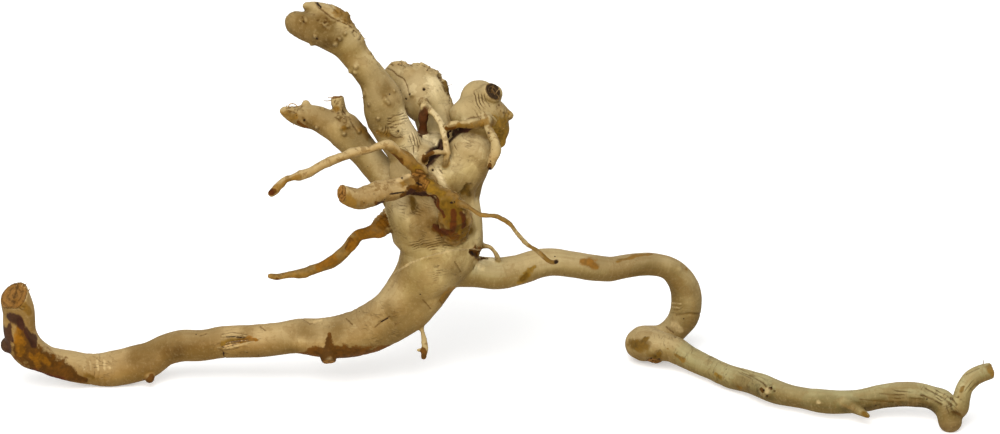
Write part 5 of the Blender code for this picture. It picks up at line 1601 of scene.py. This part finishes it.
finish = Finish("weathered_wood")
here = finish.own_place()
moved = finish.node("ShaderNodeMapping", None, {"Vector": here, "Location": (0.31, 0.12, 0.74)})
elsewhere = moved.outputs[0]
broad = finish.grain(here, 0.030, 3.0)
middling = finish.grain(here, 0.0095, 3.0, 0.6)
small = finish.grain(here, 0.0034, 3.0, 0.6)
tiny = finish.grain(here, 0.0012, 2.0, 0.6)
grit = finish.grain(here, 0.00055, 1.0)
patches = finish.grain(elsewhere, 0.016, 4.0, 0.62)
flecks = finish.grain(elsewhere, 0.0024, 3.0, 0.6)
fibre_grain = finish.grain(finish.kept_place("unbent", (0.014, 0.0013, 0.0013)), 1.0, 3.0, 0.55)
streaks = finish.grain(finish.kept_place("unbent", (0.045, 0.0042, 0.0042)), 1.0, 3.0, 0.55)
cross_grain = finish.grain(finish.kept_place("unbent", (0.0010, 0.007, 0.007)), 1.0, 2.0, 0.5)
strength, hollow_shade_amount, proud_highlight_amount, warmth, slim, top_light_under_shade_amount, on_crust, tone_and_light_amount, folds, hidden, ends = [
    finish.kept(name) for name in ("grain_strength", "hollow_shade", "proud_highlight", "warm", "slim", "top_light_under_shade", "crust",
                                   "tone_and_painted_light", "folds", "hidden", "end_grain")]


def laid_over(under, layers):
    """A colour with thin layers over it, one after another: each is a share that varies and a colour."""
    for share, shade in layers:
        under = finish.blend(share, under, colour(*shade))
    return under


def toned_and_lit(shade):
    """A colour made darker and browner where the tone and painted light are below 0, and paler where they
    are above.
    """
    shade = finish.blend(finish.step(0.0, -1.6, tone_and_light_amount), shade, DARKENED, "MULTIPLY")
    return finish.blend(finish.step(0.0, 1.6, tone_and_light_amount), shade, PALED, "MULTIPLY")


cool_tan = finish.blend(finish.step(-0.8, 0.8, broad), colour(133, 113, 67), colour(152, 132, 86))
warm_tan = finish.blend(finish.step(-0.8, 0.8, broad), colour(142, 109, 54), colour(160, 126, 71))
clean = finish.blend(finish.step(0.1, 0.8, warmth + broad * 0.10), cool_tan, warm_tan)
clean = laid_over(clean, [
    # Painted light on what looks up, then painted shade on what looks down.
    (finish.step(0.30, 1.05, top_light_under_shade_amount + middling * 0.04) * 0.55, (194, 174, 132)),
    (finish.step(0.65, 0.05, top_light_under_shade_amount + middling * 0.05) * 0.72, (98, 74, 31))])
clean = toned_and_lit(finish.blend(finish.step(0.05, -0.7, warmth), clean, GREYED, "MULTIPLY"))
print("clean wood is mixed from", len(finish.tree.nodes), "nodes")

# %% [markdown]
# ### Grain, painted shade and creases
# Over the clean wood lie a film of inner bark, thinner than paper, that ends at a clear edge, then flecks,
# the streaks of the fibres, a painted highlight on what stands proud and painted shade in the hollows. A
# crease is a sine of the phase kept on the points, with painted shade where it is lowest. Fine lines run
# where a noise, drawn out along the line, crosses zero, and another noise lets them come and go; they are
# painted shade too. The back and the twigs keep scraps of bark that the strokes don't reach.

# %% Grain, painted shade and creases
# Painted shade: the lowest part of each crease, the fine lines and the hollows of the crust are made darker.
fold_turn = (finish.kept("fold_phase") + small * 0.05) * (2 * math.pi)
crease = finish.step(-0.55, -1.0, finish.maths("COSINE", fold_turn)) * folds
zero = finish.grain(finish.kept_place("crossing", (0.0019, 0.0075, 0.0075)), 1.0, 1.5, 0.5)
lines = (finish.step(0.15, 0.02, finish.maths("ABSOLUTE", zero)) * finish.kept("lined")
         * finish.step(-0.35, 0.55, finish.grain(elsewhere, 0.0060, 2.0)))
crust_hollow_shade = finish.step(0.15, 0.75, hollow_shade_amount + flecks * 0.25) * on_crust
scraps = finish.step(0.66, 0.76, finish.grain(here, 0.026, 4.0, 0.62)) * hidden
twig_bark = finish.step(0.36, 0.56, finish.grain(elsewhere, 0.0065, 3.0, 0.6)) * slim
lichen = finish.step(0.60, 0.90, finish.grain(elsewhere, 0.022, 4.0, 0.62)) * hidden
clean = laid_over(clean, [
    (finish.step(0.10, 0.17, patches + small * 0.06) * 0.24, (116, 85, 38)),
    (finish.step(-0.4, 1.4, middling) * 0.06, (200, 176, 128)),
    (finish.step(0.2, 1.1, flecks) * 0.14, (106, 78, 36)),
    (finish.step(0.1, 1.0, tiny) * 0.10, (198, 174, 128)),
    (finish.step(0.0, 1.0, streaks) * strength * 0.28, (126, 96, 46)),
    (finish.step(-0.6, 0.8, fibre_grain) * strength * 0.18, (126, 96, 50)),
    (finish.step(0.2, 1.0, cross_grain) * strength * 0.05, (206, 184, 138)),
    # Painted highlight on what stands proud, then painted shade in the hollows, along the creases, in the
    # fine lines and in the crust's hollows.
    (proud_highlight_amount * 0.24, (206, 182, 132)),
    (finish.step(0.10, 1.0, hollow_shade_amount + small * 0.10) * 0.75, (90, 62, 27)),
    (crease * 0.74, (84, 58, 26)),
    (lines * 0.50, (84, 60, 28)),
    (crust_hollow_shade * 0.55, (88, 62, 30)),
    (scraps * 0.62, (104, 68, 28)),
    (twig_bark * 0.50, (108, 76, 30)),
    (finish.step(0.35, 0.9, flecks) * slim * 0.45, (104, 72, 30)),
    (lichen * 0.5, (136, 102, 40))])
print("with grain and dirt there are", len(finish.tree.nodes), "nodes")

# %% [markdown]
# ### Stains, end grain and pores
# The stains lie over all that, each blotchy and with an edge ruffled by noise. Sawn and torn ends show
# their grain, brown between paler rings. A pore is the nearest of many scattered points, and only where
# that point drew a high number. The same noises make the fine relief that only tilts the shading.

# %% Stains, end grain and pores
painted = clean
stain_cover = {}
edge_noise = middling * 0.35 + small * 0.45 + tiny * 0.20
for name, (shade, cover, ragged, soft) in STAIN_LOOKS.items():
    field = finish.kept(name)
    near_edge = finish.step(-1.0, -0.4, field) * finish.step(0.95, 0.35, field)
    share = finish.step(-soft, soft, field + edge_noise * near_edge * ragged) * cover
    darker, paler = (colour(*[part * gain for part in shade]) for gain in (1 / LIGHTER, LIGHTER))
    blotchy = finish.blend(finish.step(-0.9, 0.9, small * 0.7 + middling * 0.7 + tiny * 0.3), darker, paler)
    painted = finish.blend(share, painted, blotchy)
    stain_cover[name] = share

end_shade = finish.blend(finish.step(0.6, 1.15, ends + tiny * 0.16 + grit * 0.1), colour(88, 58, 22),
                         colour(142, 100, 46))
painted = finish.blend(finish.step(0.25, 0.6, ends) * (1.0 - stain_cover["dark"]) * 0.9, painted,
                       toned_and_lit(end_shade))

pores = finish.node("ShaderNodeTexVoronoi", {"feature": "F1"}, {"Vector": here, "Scale": 1.0 / 0.0046})
pore_draw = finish.node("ShaderNodeSeparateXYZ", None, {0: pores.outputs["Color"]}).outputs[0]
pore = (finish.step(0.10, 0.06, Amount(finish, pores.outputs["Distance"]))
        * finish.step(0.74, 0.76, Amount(finish, pore_draw) + slim * 0.42))
painted = finish.blend(pore * 0.8, painted, colour(46, 30, 20))

finish.feed("Base Color", painted)
finish.feed("Roughness", 0.70 - finish.step(-0.8, 0.8, small) * 0.08 - stain_cover["purple"] * 0.14
            + hollow_shade_amount * 0.10)
finish.shader.inputs["Specular IOR Level"].default_value = 0.05
relief = (small * 0.22 + tiny * 0.30 + flecks * 0.18 + fibre_grain * strength * 0.28
          + cross_grain * strength * 0.08 + grit * 0.10 - lines * 1.6 - pore * 1.4 - crease * 3.0)
finish.emboss(relief, 0.00012, 0.9)
wood.data.materials.append(finish.material)
print("the wood's finish has", len(finish.tree.nodes), "nodes")

# %% [markdown]
# ## Dry fibres
# The hairs and torn fibres have lost their sap and are darker and duller than the wood, and paler here
# and there. They are so thin that noise along their length is all that shows.

# %% Dry fibres
dry = Finish("dry_fibre")
dry_noise = dry.grain(dry.own_place(), 0.0012, 2.0)
dry_broad = dry.grain(dry.own_place(), 0.012, 2.0)
dry.feed("Base Color", dry.blend(dry.step(-0.8, 0.8, dry_noise + dry_broad * 0.6), colour(96, 70, 38),
                                 colour(186, 152, 96)))
dry.feed("Roughness", dry_noise * 0.06 + 0.75)
dry.emboss(dry_noise, 0.0001, 0.5)
fibres.data.materials.append(dry.material)
print("the fibres' finish has", len(dry.tree.nodes), "nodes")

# %% [markdown]
# ## Riding in the frame
# The new skin stands for the whole solid of the wood, and the fibres grow out of it, so both ride on the
# one body that there is.

# %% Riding in the frame
for piece in (wood, fibres):
    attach(piece, "root")
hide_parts("driftwood")

# %% [markdown]
# ## Floor, light and camera
# The wood stands on a plain pale floor under a large soft light, with a weaker one behind it and pale
# surroundings that fill the shadows. The camera looks down by 20 degrees from 2.5 m away through a long
# lens, along the same sight lines that the stations were placed with.

# %% Floor
FLOOR_HALF = 4.0
floor_corners = np.array(((-1, -1, 0), (1, -1, 0), (1, 1, 0), (-1, 1, 0))) * FLOOR_HALF
floor = mesh_object("floor", floor_corners, np.array([[0, 1, 2, 3]]))
floor_finish = Finish("pale_floor")
floor_noise = floor_finish.grain(floor_finish.own_place(), 0.4, 2.0)
floor_finish.feed("Base Color", floor_finish.blend(floor_finish.step(-1.0, 1.0, floor_noise),
                                                   colour(222, 222, 221), colour(226, 226, 225)))
floor_finish.shader.inputs["Roughness"].default_value = 0.9
floor_finish.shader.inputs["Emission Color"].default_value = (1.0, 1.0, 1.0, 1.0)
floor_finish.shader.inputs["Emission Strength"].default_value = 0.42
floor.data.materials.append(floor_finish.material)

# %% Light
world = bpy.data.worlds.new("pale_room")
world.use_nodes = True
surroundings = world.node_tree.nodes["Background"].inputs
surroundings["Color"].default_value = (1.0, 1.0, 1.0, 1.0)
surroundings["Strength"].default_value = 0.34
bpy.context.scene.world = world


def soft_light(name, spot, aim, size, power):
    """A square light of a size in metres that shines from one point at another."""
    lamp = bpy.data.lights.new(name, "AREA")
    lamp.shape = "SQUARE"
    lamp.size = size
    lamp.energy = power
    made = bpy.data.objects.new(name, lamp)
    made.location = spot
    made.rotation_euler = (Vector(aim) - Vector(spot)).to_track_quat("-Z", "Y").to_euler()
    bpy.context.scene.collection.objects.link(made)


soft_light("softbox", (-0.32, -1.25, 1.30), (0, 0, 0.05), 1.4, 40)
soft_light("fill", (0.5, 1.7, 0.9), (0, 0, 0.06), 1.6, 16)
print("a softbox, a fill from behind and a pale room")

# %% Camera
SENSOR = 36.0
camera_data = bpy.data.cameras.new("camera")
camera_data.sensor_width = SENSOR
camera_data.lens = SENSOR * VIEW_DISTANCE / SEEN_WIDTH
camera = bpy.data.objects.new("camera", camera_data)
camera.location = Vector(shift + np.array((0.0, 0.0, SIGHT_LINE_HEIGHT)) + VIEW_DISTANCE * TOWARD)
camera.rotation_euler = Vector(-TOWARD).to_track_quat("-Z", "Y").to_euler()
camera_data.clip_start = 0.05
bpy.context.scene.collection.objects.link(camera)
bpy.context.scene.camera = camera
bpy.context.scene.view_settings.view_transform = "Standard"
bpy.context.scene.view_settings.gamma = 0.92
print("camera at", np.round(camera.location, 3))
